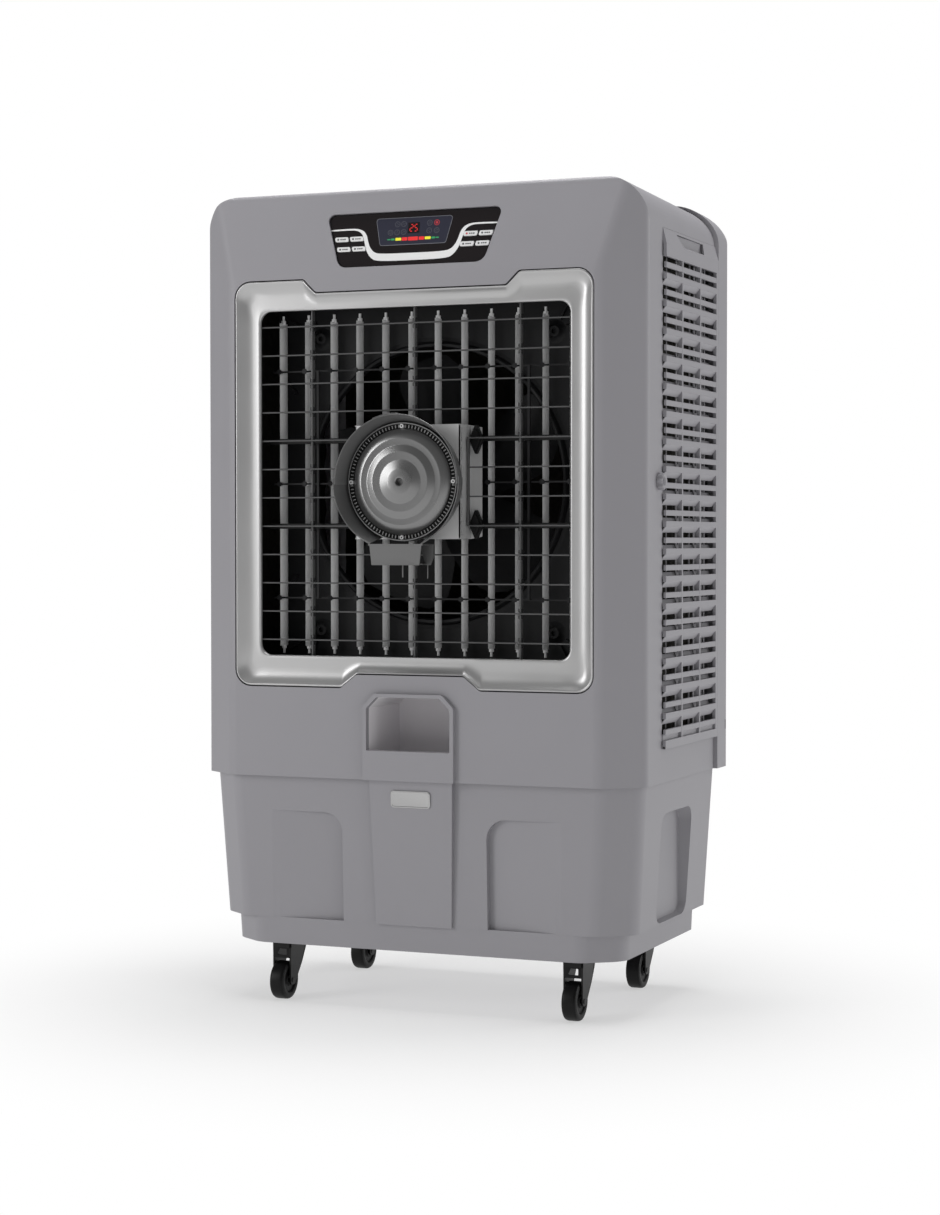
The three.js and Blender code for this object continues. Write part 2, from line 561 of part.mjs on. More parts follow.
// One blade: a curved plate, twisted from the hub to the tip.
function fanBlade(turn) {
  const stations = 4;
  const chordPoints = 4;
  const front = [];
  const back = [];
  for (let i = 0; i < stations; i++) {
    const t = i / (stations - 1);
    const radius = 48 + (FAN.radius - 48) * t;
    const chord = 92 + 78 * Math.sin(t * Math.PI * 0.62);
    const pitch = (38 - 14 * t) * (Math.PI / 180);
    for (let k = 0; k < chordPoints; k++) {
      const c = (k / (chordPoints - 1) - 0.5) * chord;
      const bow = 9 * (1 - ((2 * k) / (chordPoints - 1) - 1) ** 2);
      const along = c * Math.cos(pitch) - bow * Math.sin(pitch);
      const y = -52 + c * Math.sin(pitch) + bow * Math.cos(pitch);
      const angle = along / radius + turn + 0.16 * t;
      [[front, -1.4], [back, 1.4]].forEach(([face, offset]) =>
        face.push([radius * Math.cos(angle), y + offset, radius * Math.sin(angle) + AXIS_Z]));
    }
  }
  const count = front.length;
  const at = (i, k) => i * chordPoints + k;
  const index = [];
  const quad = (a, b, c, d) => index.push(a, b, c, a, c, d);
  for (let i = 0; i < stations - 1; i++)
    for (let k = 0; k < chordPoints - 1; k++) {
      quad(at(i, k), at(i, k + 1), at(i + 1, k + 1), at(i + 1, k));
      quad(count + at(i, k), count + at(i + 1, k), count + at(i + 1, k + 1), count + at(i, k + 1));
    }
  const last = stations - 1;
  const tip = chordPoints - 1;
  for (let k = 0; k < tip; k++) {
    quad(at(0, k + 1), at(0, k), count + at(0, k), count + at(0, k + 1));
    quad(at(last, k), at(last, k + 1), count + at(last, k + 1), count + at(last, k));
  }
  for (let i = 0; i < last; i++) {
    quad(at(i, 0), at(i + 1, 0), count + at(i + 1, 0), count + at(i, 0));
    quad(at(i + 1, tip), at(i, tip), count + at(i, tip), count + at(i + 1, tip));
  }
  const geometry = new THREE.BufferGeometry();
  geometry.setAttribute("position", new THREE.Float32BufferAttribute([...front, ...back].flat(), 3));
  geometry.setIndex(index);
  return solid(geometry);
}
const SHAFT = 7;
function fanImpeller() {
  const hub = turned("y", [[0, -88], [30, -88], [52, -80], [56, -70], [56, -20], [44, -20], [44, -64],
    [14, -68], [14, -24], [0, -24]], [0, 0, AXIS_Z], 18);
  const blades = [];
  for (let k = 0; k < FAN.blades; k++) blades.push(fanBlade((k * 2 * Math.PI) / FAN.blades + 0.35));
  const shaft = rod("y", SHAFT, -212, -80, [0, 0, AXIS_Z], 16);
  return join([hub, ...blades, shaft]);
}
piece("fan_impeller", fanImpeller(), BLACK);

// ---- Motor, its cowl, bracket and two struts ----
const CENTRE = [0, 0, AXIS_Z];
function motor() {
  const { face } = MOTOR;
  return turned("y", [
    [0, face], [20, face + 1], [50, face + 6], [86, face + 12], [98, face + 14], [98, face + 18],
    [74, face + 22], [74, -190], [60, -182], [60, -166], [SHAFT + 1, -166], [SHAFT + 1, -216], [0, -216],
  ], CENTRE, 28);
}
piece("fan_motor", motor(), STEEL);

function motorCowl() {
  const { rim, cowl, plate } = MOTOR;
  const back = plate - GAP;
  const bore = turned("y", [[0, rim - 5], [cowl - 2.5, rim - 5], [cowl - 2.5, back - 4], [76, back - 4],
    [76, back + 5], [0, back + 5]], CENTRE, 40);
  const flat = prism("y", outline([[-47, 789], [47, 789], [43, 757], [-43, 757]]), rim + 2, rim + 5);
  const base = box(-52, rim + 2, 786, 52, back, 790);
  const drum = rod("y", cowl, rim, back, CENTRE, 40).subtract(box(-200, rim - 9, 600, 200, back + 9, 789));
  const keep = box(-200, rim - 9, 792, 200, back + 9, 1200);
  return join([drum.subtract(bore.intersect(keep)), flat, base]);
}
piece("motor_cowl", motorCowl(), STEEL);

const CLAMP = { x: 106, z: 72.6, half: 12 };
const clampOutline = (s, dz, grow) => {
  const [x, z, h] = [s * CLAMP.x, AXIS_Z + dz, CLAMP.half + grow];
  return outline([[x - h * 0.75, z], [x, z - h * 1.4], [x + h * 0.75, z], [x, z + h * 1.4]]);
};
function motorBracket() {
  const { plate, back, square, lip } = MOTOR;
  const [low, high] = [AXIS_Z - square, AXIS_Z + square];
  const face = box(-square, plate, low, square, plate + 2, high);
  const walls = SIDES.flatMap(([, s]) => [
    box(s * (square - 1) - 1, plate, low, s * (square - 1) + 1, back, high),
    box(Math.min(s * (square - 2), s * (square + lip)), back - 2, low,
      Math.max(s * (square - 2), s * (square + lip)), back, high),
  ]);
  const holes = SIDES.flatMap(([, s]) => [-1, 1].map((d) =>
    prism("y", clampOutline(s, d * CLAMP.z, 0.6), back - 8, back + 8)));
  return cut(join([face, ...walls]), [rod("y", 75, plate - 5, plate + 5, CENTRE, 36), ...holes]);
}
piece("motor_bracket", motorBracket(), SILVER);

// A strut spans the opening behind the bracket's lips, and its two clamps come forward through them.
[["lower", -1], ["upper", 1]].forEach(([level, d]) => {
  const z = AXIS_Z + d * CLAMP.z;
  const { back } = MOTOR;
  const bar = box(-292, back + GAP, z - 4.5, 292, back + 7.4, z + 4.5);
  const clamps = SIDES.map(([, s]) => prism("y", clampOutline(s, d * CLAMP.z, 0), back - 7, back + 2));
  piece("motor_strut_" + level, join([bar, ...clamps]), BLACK);
});

// ---- Twelve swinging blades and the link that turns them together ----
const bladeX = (i) => (i - (BLADE.count - 1) / 2) * BLADE.pitch;
const PIN_Y = BLADE.y - LINK.arm;
function blade() {
  const { chord, thick, bottom, top } = BLADE;
  const section = outline([[0, -chord / 2], [thick / 2, -chord * 0.3], [thick / 2, chord * 0.3],
    [0, chord / 2], [-thick / 2, chord * 0.3], [-thick / 2, -chord * 0.3]]);
  const slab = prism("z", section, bottom, top);
  const pivot = rod("z", 2.2, bottom - 13, top + 13, [0, 0, 0], 6);
  const notches = LINK.heights.map((z) => box(-5, -20, z - 3, 5, -LINK.arm + 6.8, z + 3));
  const pins = LINK.heights.map((z) => box(-0.8, -LINK.arm - 0.8, z - 4, 0.8, -LINK.arm + 0.8, z + 4));
  return join([cut(slab.add(pivot), notches), ...pins]);
}
for (let i = 0; i < BLADE.count; i++)
  piece("louvre_blade_" + (i + 1), blade(), BLADE_GREY).position.set(bladeX(i), BLADE.y, 0);

function louvreLink() {
  const reach = bladeX(BLADE.count - 1) + 14;
  const inner = 60;
  const rail = (x0, x1, z) => box(x0, PIN_Y - 3.5, z - LINK.bar / 2, x1, PIN_Y + 3.5, z + LINK.bar / 2);
  const [low, middle, high] = LINK.heights;
  const rails = [rail(-reach, reach, low), rail(-reach, reach, high), rail(-reach, -inner, middle),
    rail(inner, reach, middle)];
  const ties = SIDES.map(([, s]) =>
    box(s * LINK.tieX - 2, PIN_Y - 3.5, low, s * LINK.tieX + 2, PIN_Y + 1, high));
  const clips = [];
  for (let i = 0; i < BLADE.count; i++)
    LINK.heights.forEach((z) => {
      const x = bladeX(i);
      clips.push(box(x - 1.8, PIN_Y - 6, z - 4, x + 1.8, PIN_Y + 1.8, z + 4));
    });
  return cut(join([...rails, ...ties]), clips);
}
piece("louvre_link", louvreLink(), BLACK);

// ---- Four casters, their wheels trailing to the front ----
const WHEEL_PLACES = [
  ["front_left", -1, 0], ["front_right", 1, 0], ["rear_left", -1, 1], ["rear_right", 1, 1],
];
function casterFork() {
  const { radius, width, trail } = WHEEL;
  const half = width / 2 + 1.5;
  const side = outline([[-trail - 8, radius - 8], [-trail + 8, radius - 8], [16, 62], [30, 86], [30, 98],
    [-trail - 8, 98]]);
  const legs = [-1, 1].map((s) => prism("x", side, s * (half + 1.5) - 1.5, s * (half + 1.5) + 1.5));
  const crown = box(-half - 3, -trail - 8, 90, half + 3, 30, 98);
  const web = box(-half - 3, -trail - 8, 72, half + 3, -trail - 5, 98)
    .subtract(prism("y", outline([[-9, 77], [9, 77], [9, 88], [-4, 88]]), -trail - 12, -trail));
  const collar = rod("z", 17, 97, 101, [0, 0, 0], 14);
  const stem = rod("z", 5, 98, 118, [0, 0, 0], 8);
  const axle = rod("x", 3.5, -half - 2, half + 2, [0, -trail, radius], 8);
  return join([...legs, crown, web, collar, stem, axle]);
}
function casterWheel() {
  const { radius, width } = WHEEL;
  const h = width / 2;
  return turned("x", [[4, -h + 2], [21, -h + 4], [24, -h], [radius - 3, -h], [radius, -h + 4],
    [radius, h - 4], [radius - 3, h], [24, h], [21, h - 4], [4, h - 2], [4, -h + 2]], [0, 0, 0], 24);
}
WHEEL_PLACES.forEach(([place, s, rear]) => {
  const caster = new THREE.Group();
  caster.position.set(s * WHEEL.x, WHEEL.axles[rear] + WHEEL.trail, 0);
  cooler.add(caster);
  piece("caster_fork_" + place, casterFork(), BLACK, caster);
  piece("caster_wheel_" + place, casterWheel(), TREAD, caster).position.set(0, -WHEEL.trail, WHEEL.radius);
});

export default cooler;
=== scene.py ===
"""The finished look of a tall evaporative cooler on casters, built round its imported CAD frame.

Shapes are made in millimetres, in the row frame: +Z up, the front faces -Y, the floor is Z 0.
"""

import json
import math

import bmesh
import bpy
from mathutils import Matrix, Vector

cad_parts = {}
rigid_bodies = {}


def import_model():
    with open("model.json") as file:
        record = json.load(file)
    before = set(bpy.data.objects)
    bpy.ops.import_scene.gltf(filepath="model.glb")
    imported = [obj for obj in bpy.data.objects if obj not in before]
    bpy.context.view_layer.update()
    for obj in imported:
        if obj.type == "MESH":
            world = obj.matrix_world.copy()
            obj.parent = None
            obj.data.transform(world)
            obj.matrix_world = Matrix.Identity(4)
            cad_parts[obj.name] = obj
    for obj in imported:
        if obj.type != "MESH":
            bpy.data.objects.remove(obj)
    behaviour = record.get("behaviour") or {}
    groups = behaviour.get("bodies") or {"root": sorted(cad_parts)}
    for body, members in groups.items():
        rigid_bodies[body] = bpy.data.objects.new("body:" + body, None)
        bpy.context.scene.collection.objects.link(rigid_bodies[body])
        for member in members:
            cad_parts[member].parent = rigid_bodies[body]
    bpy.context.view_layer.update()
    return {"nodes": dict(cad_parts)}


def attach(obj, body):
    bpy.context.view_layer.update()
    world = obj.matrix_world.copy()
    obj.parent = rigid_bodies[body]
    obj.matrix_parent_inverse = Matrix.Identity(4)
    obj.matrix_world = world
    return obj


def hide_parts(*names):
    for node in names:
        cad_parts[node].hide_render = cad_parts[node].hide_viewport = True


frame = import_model()
nodes = frame["nodes"]

MM = 0.001
FRONT, REAR = -214, 272
HALF, PROUD = 402, 7  # half the front shell's width, and how far the rear shell and side panels stand out
SHELL_Z, TOP, REAR_TOP = 395, 1385, 1389
CUT_X, CUT_Y, CORNER, WALL = 67, 49, 68, 4
SEAM, SEAM_ROLL = 209, 60  # the joint between front and rear shell, and how it rolls over the roof
LEAN_Z, LEAN = 1240, 0.2  # above this height the front leans back
AXIS_Z = 895  # the fan's axis
FACE_V = 62.5
FACE = Vector((0, FRONT + LEAN * FACE_V, LEAN_Z + FACE_V))  # the control panel's centre
GUARD_Y, GUARD_PITCH, GUARD_RIBS = -198, 48.5, (-190, 0, 190)
BLADES, BLADE_PITCH, BLADE_Y, PIN_Y = 12, 48.4, -146, -159
LINK_HEIGHTS = (699, AXIS_Z, 1088)
KNOB_Y = -108
PAD_Z = (401, 1296)
CASTER_X, CASTER_YS = 269, (("front", -144), ("rear", 188))
TRAIL, WHEEL_RADIUS = 23, 33
DRAIN = (60, 0, 178)
SIDES = (("left", -1), ("right", 1))


# ---------------------------------------------------------------- shapes: (vertices, faces) in mm
def join(*shapes):
    """All the shapes as one."""
    verts, faces = [], []
    for v, f in shapes:
        n = len(verts)
        verts += v
        faces += [tuple(i + n for i in face) for face in f]
    return verts, faces


def moved(shape, offset=(0, 0, 0), turn=None):
    m = (turn or Matrix.Identity(4)).to_4x4()
    return [tuple(m @ Vector(v) + Vector(offset)) for v in shape[0]], shape[1]


def flipped(shape, s):
    """The shape as it is on the right (s 1), or reflected to the left (s -1)."""
    return [(s * x, y, z) for x, y, z in shape[0]], shape[1]


def outline(corners, steps=6):
    """Corners (u, v, radius), each with a radius becoming an arc."""
    path = []
    count = len(corners)
    for i, corner in enumerate(corners):
        u, v = corner[:2]
        radius = corner[2] if len(corner) > 2 else 0
        here = Vector((u, v))
        if not radius:
            path.append((u, v))
            continue
        before = (Vector(corners[i - 1][:2]) - here).normalized()
        after = (Vector(corners[(i + 1) % count][:2]) - here).normalized()
        half = math.acos(max(-1, min(1, before.dot(after)))) / 2
        centre = here + (before + after).normalized() * (radius / math.sin(half))
        start = here + before * (radius / math.tan(half)) - centre
        end = here + after * (radius / math.tan(half)) - centre
        sweep = math.atan2(start.x * end.y - start.y * end.x, start.dot(end))
        for k in range(steps + 1):
            a = sweep * k / steps
            path.append((centre.x + start.x * math.cos(a) - start.y * math.sin(a),
                         centre.y + start.x * math.sin(a) + start.y * math.cos(a)))
    return path


def rect(u0, v0, u1, v1, radius=0, steps=4):
    return outline([(u0, v0, radius), (u1, v0, radius), (u1, v1, radius), (u0, v1, radius)], steps)


PLACE = {"x": lambda u, v, w: (w, u, v), "y": lambda u, v, w: (u, w, v), "z": lambda u, v, w: (u, v, w)}


def loft(rings, closed=False):
    """Rings of the same number of 3-D points, joined in order; ends are capped unless closed."""
    n = len(rings[0])
    verts = [tuple(p) for ring in rings for p in ring]
    faces = []
    for k in range(len(rings) - (0 if closed else 1)):
        a, b = k * n, ((k + 1) % len(rings)) * n
        faces += [(a + i, a + (i + 1) % n, b + (i + 1) % n, b + i) for i in range(n)]
    if not closed:
        faces += [tuple(range(n - 1, -1, -1)), tuple(range(len(verts) - n, len(verts)))]
    return verts, faces


def prism(axis, path, a, b):
    """A closed path drawn out along the axis from a to b."""
    at = PLACE[axis]
    return loft([[at(u, v, w) for u, v in path] for w in (a, b)])


def box(x0, y0, z0, x1, y1, z1):
    return prism("z", rect(x0, y0, x1, y1), z0, z1)


def turned(axis, profile, centre=(0, 0, AXIS_Z), sides=64):
    """A profile of (radius, distance along the axis) turned about the axis through centre."""
    at = PLACE[axis]
    verts, rings = [], []
    for r, along in profile:
        if r <= 0:
            rings.append([len(verts)] * sides)
            verts.append(at(0, 0, along))
            continue
        rings.append(list(range(len(verts), len(verts) + sides)))
        for k in range(sides):
            a = 2 * math.pi * k / sides
            verts.append(at(r * math.cos(a), r * math.sin(a), along))
    faces = []
    loop = profile[0][0] > 0
    for k in range(len(rings) - (0 if loop else 1)):
        a, b = rings[k], rings[(k + 1) % len(rings)]
        for i in range(sides):
            j = (i + 1) % sides
            face = list(dict.fromkeys((a[i], a[j], b[j], b[i])))
            if len(face) > 2:
                faces.append(tuple(face))
    return moved((verts, faces), centre)


def rod(axis, radius, a, b, centre, sides=24):
    return turned(axis, [(0, a), (radius, a), (radius, b), (0, b)], centre, sides)


def on_fascia(shape):
    """From the control panel's own plane (u, v, outwards) to the row frame."""
    c = 1 / math.hypot(1, LEAN)
    s = LEAN * c
    return [(u, FACE.y + s * v - c * w, FACE.z + c * v + s * w) for u, v, w in shape[0]], shape[1]


def lattice(us, vs, is_open, a, b, axis="x"):
    """A plate between a and b on the axis, of cells between the lines us and vs, without the open ones."""
    at = PLACE[axis]
    nu, nv = len(us), len(vs)
    verts = [at(u, v, w) for w in (a, b) for u in us for v in vs]
    idx = lambda side, i, j: side * nu * nv + i * nv + j
    shut = lambda i, j: 0 <= i < nu - 1 and 0 <= j < nv - 1 and not is_open(i, j)
    faces = []
    for i in range(nu - 1):
        for j in range(nv - 1):
            if not shut(i, j):
                continue
            cell = ((i, j), (i + 1, j), (i + 1, j + 1), (i, j + 1))
            faces += [tuple(idx(side, *point) for point in cell) for side in (0, 1)]
            for (di, dj), (p, q) in (((-1, 0), ((0, 0), (0, 1))), ((1, 0), ((1, 0), (1, 1))),
                                     ((0, -1), ((0, 0), (1, 0))), ((0, 1), ((0, 1), (1, 1)))):
                if not shut(i + di, j + dj):
                    faces.append((idx(0, i + p[0], j + p[1]), idx(0, i + q[0], j + q[1]),
                                  idx(1, i + q[0], j + q[1]), idx(1, i + p[0], j + p[1])))
    return verts, faces


def border(nu, nv):
    """The grid points (i, j) round the edge of a grid of nu by nv, in order."""
    return ([(i, 0) for i in range(nu)] + [(nu - 1, j) for j in range(1, nv)] +
            [(i, nv - 1) for i in range(nu - 2, -1, -1)] + [(0, j) for j in range(nv - 2, 0, -1)])


# ---------------------------------------------------------------- meshes
def to_mesh(name, shape, scale=1.0, weld=0.002):
    bm = bmesh.new()
    for v in shape[0]:
        bm.verts.new(Vector(v) * scale)
    bm.verts.ensure_lookup_table()
    for f in shape[1]:
        try:
            bm.faces.new([bm.verts[i] for i in f])
        except ValueError:
            pass
    bmesh.ops.remove_doubles(bm, verts=bm.verts, dist=weld * scale)
    bmesh.ops.dissolve_degenerate(bm, dist=weld * scale, edges=bm.edges)
    loose = [v for v in bm.verts if not v.link_faces]
    bmesh.ops.delete(bm, geom=loose, context="VERTS")
    bmesh.ops.recalc_face_normals(bm, faces=bm.faces)
    mesh = bpy.data.meshes.new(name)
    bm.to_mesh(mesh)
    bm.free()
    return mesh


def boolean(base, tools, operation="DIFFERENCE"):
    """base without, with, or only inside all of the tools."""
    scene = bpy.context.scene
    body = bpy.data.objects.new("tmp_base", to_mesh("tmp_base", base))
    scene.collection.objects.link(body)
    others = bpy.data.collections.new("tmp_tools")
    scene.collection.children.link(others)
    for tool in tools:
        o = bpy.data.objects.new("tmp_tool", to_mesh("tmp_tool", tool))
        others.objects.link(o)
    m = body.modifiers.new("cut", "BOOLEAN")
    m.operation, m.solver, m.operand_type, m.collection = operation, "EXACT", "COLLECTION", others
    bpy.context.view_layer.update()
    result = bpy.data.meshes.new_from_object(body.evaluated_get(bpy.context.evaluated_depsgraph_get()))
    shape = [tuple(v.co) for v in result.vertices], [tuple(p.vertices) for p in result.polygons]
    for o in [body, *others.objects]:
        data = o.data
        bpy.data.objects.remove(o)
        bpy.data.meshes.remove(data)
    bpy.data.collections.remove(others)
    bpy.data.meshes.remove(result)
    return shape


def shade(obj, angle):
    obj.data.polygons.foreach_set("use_smooth", [True] * len(obj.data.polygons))
    obj.data.set_sharp_from_angle(angle=math.radians(angle))


def add_bevel(obj, width, segments=2, angle=32):
    m = obj.modifiers.new("edges", "BEVEL")
    m.width, m.segments, m.limit_method, m.angle_limit = width * MM, segments, "ANGLE", math.radians(angle)
    m.harden_normals = False
    m.use_clamp_overlap = True
    w = obj.modifiers.new("normals", "WEIGHTED_NORMAL")
    w.keep_sharp = True


def piece(name, shape, body, look, replaces=(), bevel=0, segments=2, angle=32):
    obj = bpy.data.objects.new(name, to_mesh(name, shape, MM))
    bpy.context.scene.collection.objects.link(obj)
    obj.data.materials.append(look)
    shade(obj, angle if not bevel else 75)
    if bevel:
        add_bevel(obj, bevel, segments, angle)
    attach(obj, body)
    if replaces:
        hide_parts(*replaces)
    return obj


def carry(node, look, bevel=0.6, segments=2, angle=32):
    """A CAD node that stays: it gets a finish, soft edges and smooth round faces."""
    obj = nodes[node]
    obj.data.materials.clear()
    obj.data.materials.append(look)
    weld = obj.modifiers.new("weld", "WELD")
    weld.merge_threshold = 0.00001
    flat = obj.modifiers.new("flats", "DECIMATE")
    flat.decimate_type, flat.angle_limit = "DISSOLVE", math.radians(1)
    if bevel:
        add_bevel(obj, bevel, segments, angle)
    obj.data.polygons.foreach_set("use_smooth", [True] * len(obj.data.polygons))
    return obj


# ---------------------------------------------------------------- finishes
def add_node(tree, kind, settings=(), **inputs):
    """A shader node: first its settings, then its inputs, where an output of another node is linked."""
    node = tree.nodes.new("ShaderNode" + kind)
    for name, value in dict(settings).items():
        setattr(node, name, value)
    for name, value in inputs.items():
        socket = node.inputs[name.replace("_", " ")]
        if isinstance(value, bpy.types.NodeSocket):
            tree.links.new(value, socket)
        else:
            socket.default_value = value
    return node


def mix_colour(tree, a, b, factor, blend="MIX"):
    settings = {"data_type": "RGBA", "blend_type": blend}
    return add_node(tree, "Mix", settings, A=a, B=b, Factor=factor).outputs["Result"]


def mix_shader(tree, factor, a, b):
    both = add_node(tree, "MixShader", Fac=factor)
    tree.links.new(a, both.inputs[1])
    tree.links.new(b, both.inputs[2])
    return both.outputs["Shader"]


def finish(name, colour, roughness, metallic=0.0, grain=1400, bump=0.12, mottle=0.05, streak=(1, 1, 1),
           wear=0.0, glow=0.0):
    """A procedural finish: broad colour variation, fine surface grain, uneven gloss and light edge wear."""
    mat = bpy.data.materials.new(name)
    mat.use_nodes = True
    tree = mat.node_tree
    shader = tree.nodes["Principled BSDF"]
    shader.inputs["Metallic"].default_value = metallic
    coords = add_node(tree, "TexCoord").outputs["Object"]
    stretched = add_node(tree, "Mapping", Scale=streak, Vector=coords).outputs["Vector"]
    broad = add_node(tree, "TexNoise", Scale=9, Detail=4, Vector=coords).outputs["Fac"]
    fine = add_node(tree, "TexNoise", Scale=grain, Detail=3, Vector=stretched).outputs["Fac"]

    def tone(gain, lift=0.0):
        return [min(1, c * gain + lift) for c in colour] + [1]

    base = mix_colour(tree, tone(1 - mottle), tone(1 + mottle), broad)
    base = mix_colour(tree, base, fine, min(1.0, 2 * mottle), "MULTIPLY")
    if wear:
        edges = add_node(tree, "NewGeometry").outputs["Pointiness"]
        worn = add_node(tree, "MapRange", From_Min=0.53, From_Max=0.62, To_Max=wear, Value=edges)
        base = mix_colour(tree, base, tone(1.5, 0.06), worn.outputs["Result"])
    tree.links.new(base, shader.inputs["Base Color"])
    gloss = add_node(tree, "MapRange", To_Min=max(0.02, roughness - 0.06), To_Max=roughness + 0.06,
                     Value=broad)
    tree.links.new(gloss.outputs["Result"], shader.inputs["Roughness"])
    if bump:
        relief = add_node(tree, "Bump", Strength=bump, Distance=0.0003, Height=fine)
        tree.links.new(relief.outputs["Normal"], shader.inputs["Normal"])
    if glow:
        shader.inputs["Emission Color"].default_value = [*colour, 1]
        shader.inputs["Emission Strength"].default_value = glow
    return mat


GREY = finish("grey_moulding", (0.303, 0.296, 0.317), 0.5, grain=1300, bump=0.10, mottle=0.03)
GREY_DARK = finish("inner_moulding", (0.14, 0.135, 0.142), 0.6, mottle=0.05)
SILVER = finish("satin_silver", (0.47, 0.468, 0.468), 0.36, metallic=0.75, grain=2600, bump=0.05, mottle=0.03)
BLACK = finish("black_moulding", (0.014, 0.014, 0.015), 0.42, mottle=0.08)
GUARD_GREY = finish("guard_wire", (0.09, 0.09, 0.091), 0.35, metallic=0.3, mottle=0.06)
PANEL_BLACK = finish("panel_gloss", (0.010, 0.007, 0.008), 0.10, bump=0, mottle=0.02)
PANEL_WINDOW = finish("display_window", (0.030, 0.031, 0.050), 0.12, bump=0, mottle=0.02)
PRINT_GREY = finish("printed_grey", (0.17, 0.175, 0.20), 0.4, bump=0, mottle=0.02)
PRINT_FAINT = finish("printed_faint", (0.075, 0.078, 0.10), 0.4, bump=0, mottle=0.02)
PRINT_WHITE = finish("printed_white", (0.86, 0.86, 0.86), 0.35, bump=0, mottle=0.01)
PRINT_RED = finish("printed_red", (0.55, 0.035, 0.05), 0.4, bump=0, mottle=0.02)
PRINT_DARK = finish("printed_dark", (0.045, 0.045, 0.05), 0.5, bump=0, mottle=0.02)
GLOW_RED = finish("lamp_red", (0.7, 0.02, 0.02), 0.4, bump=0, mottle=0.01, glow=0.3)
GLOW_YELLOW = finish("lamp_yellow", (0.75, 0.68, 0.03), 0.4, bump=0, mottle=0.01, glow=0.35)
GLOW_GREEN = finish("lamp_green", (0.02, 0.27, 0.09), 0.4, bump=0, mottle=0.01, glow=0.3)
KEY_WHITE = finish("key_cap", (0.78, 0.78, 0.78), 0.4, grain=1800, bump=0.05, mottle=0.02)
# light grey moulding made paler than its own tone: partly the blades' real light grey, partly painted light
# inside the outlet
BLADE_PAINTED_LIGHT = finish("louvre_moulding_painted_light", (0.80, 0.80, 0.80), 0.45, grain=1500, mottle=0.03)
STEEL = finish("pressed_steel", (0.23, 0.23, 0.23), 0.28, metallic=0.9, grain=900, bump=0.05, wear=0.25)
COWL = finish("painted_steel", (0.12, 0.12, 0.12), 0.4, metallic=0.55, grain=1200, bump=0.06, mottle=0.06,
              wear=0.35)
ZINC = finish("zinc_sheet", (0.62, 0.62, 0.62), 0.45, metallic=0.35, grain=500, bump=0.06, mottle=0.08,
              streak=(1, 1, 6))
POWDER = finish("black_powder_coat", (0.006, 0.006, 0.006), 0.45, grain=1700, bump=0.2, mottle=0.1)
CASTER = finish("caster_moulding", (0.003, 0.003, 0.003), 0.4, grain=1500, bump=0.05, mottle=0.1, wear=0.12)
TREAD = finish("wheel_tread", (0.003, 0.003, 0.003), 0.45, grain=700, bump=0.2, mottle=0.12)
# the chute's grey moulding made much paler than the cabinet's grey: painted light inside the fill port
CHUTE_PAINTED_LIGHT = finish("chute_painted_light", (0.80, 0.78, 0.80), 0.55, grain=1300, bump=0.08, mottle=0.02)
PAPER = finish("corrugated_paper", (0.030, 0.026, 0.021), 0.95, grain=600, bump=0.5, mottle=0.2)
HOSE = finish("hose", (0.03, 0.03, 0.032), 0.45, mottle=0.1)
FOAM = finish("float_foam", (0.62, 0.58, 0.5), 0.7, grain=500, bump=0.3, mottle=0.06)
# deep black for painted shade: dark sheets that stand in for the shade inside slots and grooves
PAINTED_SHADE = finish("painted_shade_black", (0.004, 0.004, 0.004), 0.8, bump=0, mottle=0.05)
for dull in (BLACK, POWDER, CASTER, TREAD, PAINTED_SHADE):
    dull.node_tree.nodes["Principled BSDF"].inputs["Specular IOR Level"].default_value = 0.22


# ---------------------------------------------------------------- upper shells
def body_form(half, top, inset):
    """The cabinet's outer form, or its inner one a wall further in."""
    bottom = SHELL_Z - (50 if inset else 0)
    h, front, roof, rear = half - inset, FRONT + inset, top - inset, REAR - inset
    turn = CORNER - inset
    front_top, back_top = roof + 5, roof - 9  # the roof falls a little towards the back
    back = 12 - min(inset, 4)
    blend, edge = 12, 8  # half the height of the bend, and the radius of the front top edge

    def setback(z):
        """How far the front has leaned back at a height; the bend is a curve of 2 x blend."""
        above = z - LEAN_Z
        if above < -blend:
            return 0
        return LEAN * ((above + blend) ** 2 / (4 * blend) if above < blend else above)

    def section(z, extra=0.0):
        # the cut corners shrink as the leaning front steps back, and every edge stays round
        off = setback(z)
        left = max(0.16, 1 - off / CUT_Y)
        y, cut_x, cut_y = front + off + extra, CUT_X * left, CUT_Y * left
        r = min(18, cut_y * 0.7)
        left_side = [(-h, rear, back), (-h, y + cut_y, r), (-h + cut_x, y, r * 1.9)]
        right_side = [(-px, py, radius) for px, py, radius in reversed(left_side)]
        return [(px, py, z) for px, py in outline(left_side + right_side, 8)]

    bend, lean_end = LEAN_Z - blend, LEAN_Z + blend
    levels = [bottom] + [bend + 2 * blend * k / 6 for k in range(7)]
    levels += [lean_end + (front_top - edge - lean_end) * k / 12 for k in range(1, 13)]
    rings = [section(z) for z in levels]
    for k in range(1, 7):
        a = math.pi / 2 * k / 6
        rings.append(section(front_top - edge + edge * math.sin(a), edge * (1 - math.cos(a))))
    rings.append(section(front_top + 1, edge + 1))
    plan = loft(rings)
    arches = []
    for y, t in ((rear + 1, back_top), (front - 1, front_top)):
        arch = outline([(-h, bottom), (h, bottom), (h, t, turn), (-h, t, turn)], 12)
        arches.append([(x, y, z) for x, z in arch])
    face = loft(arches)
    profile = [(front - 9, bottom), (rear, bottom), (rear, back_top, turn + 6), (front - 9, front_top + 0.5)]
    side = prism("x", outline(profile, 10), -half - 1, half + 1)
    return boolean(boolean(plan, [face], "INTERSECT"), [side], "INTERSECT")


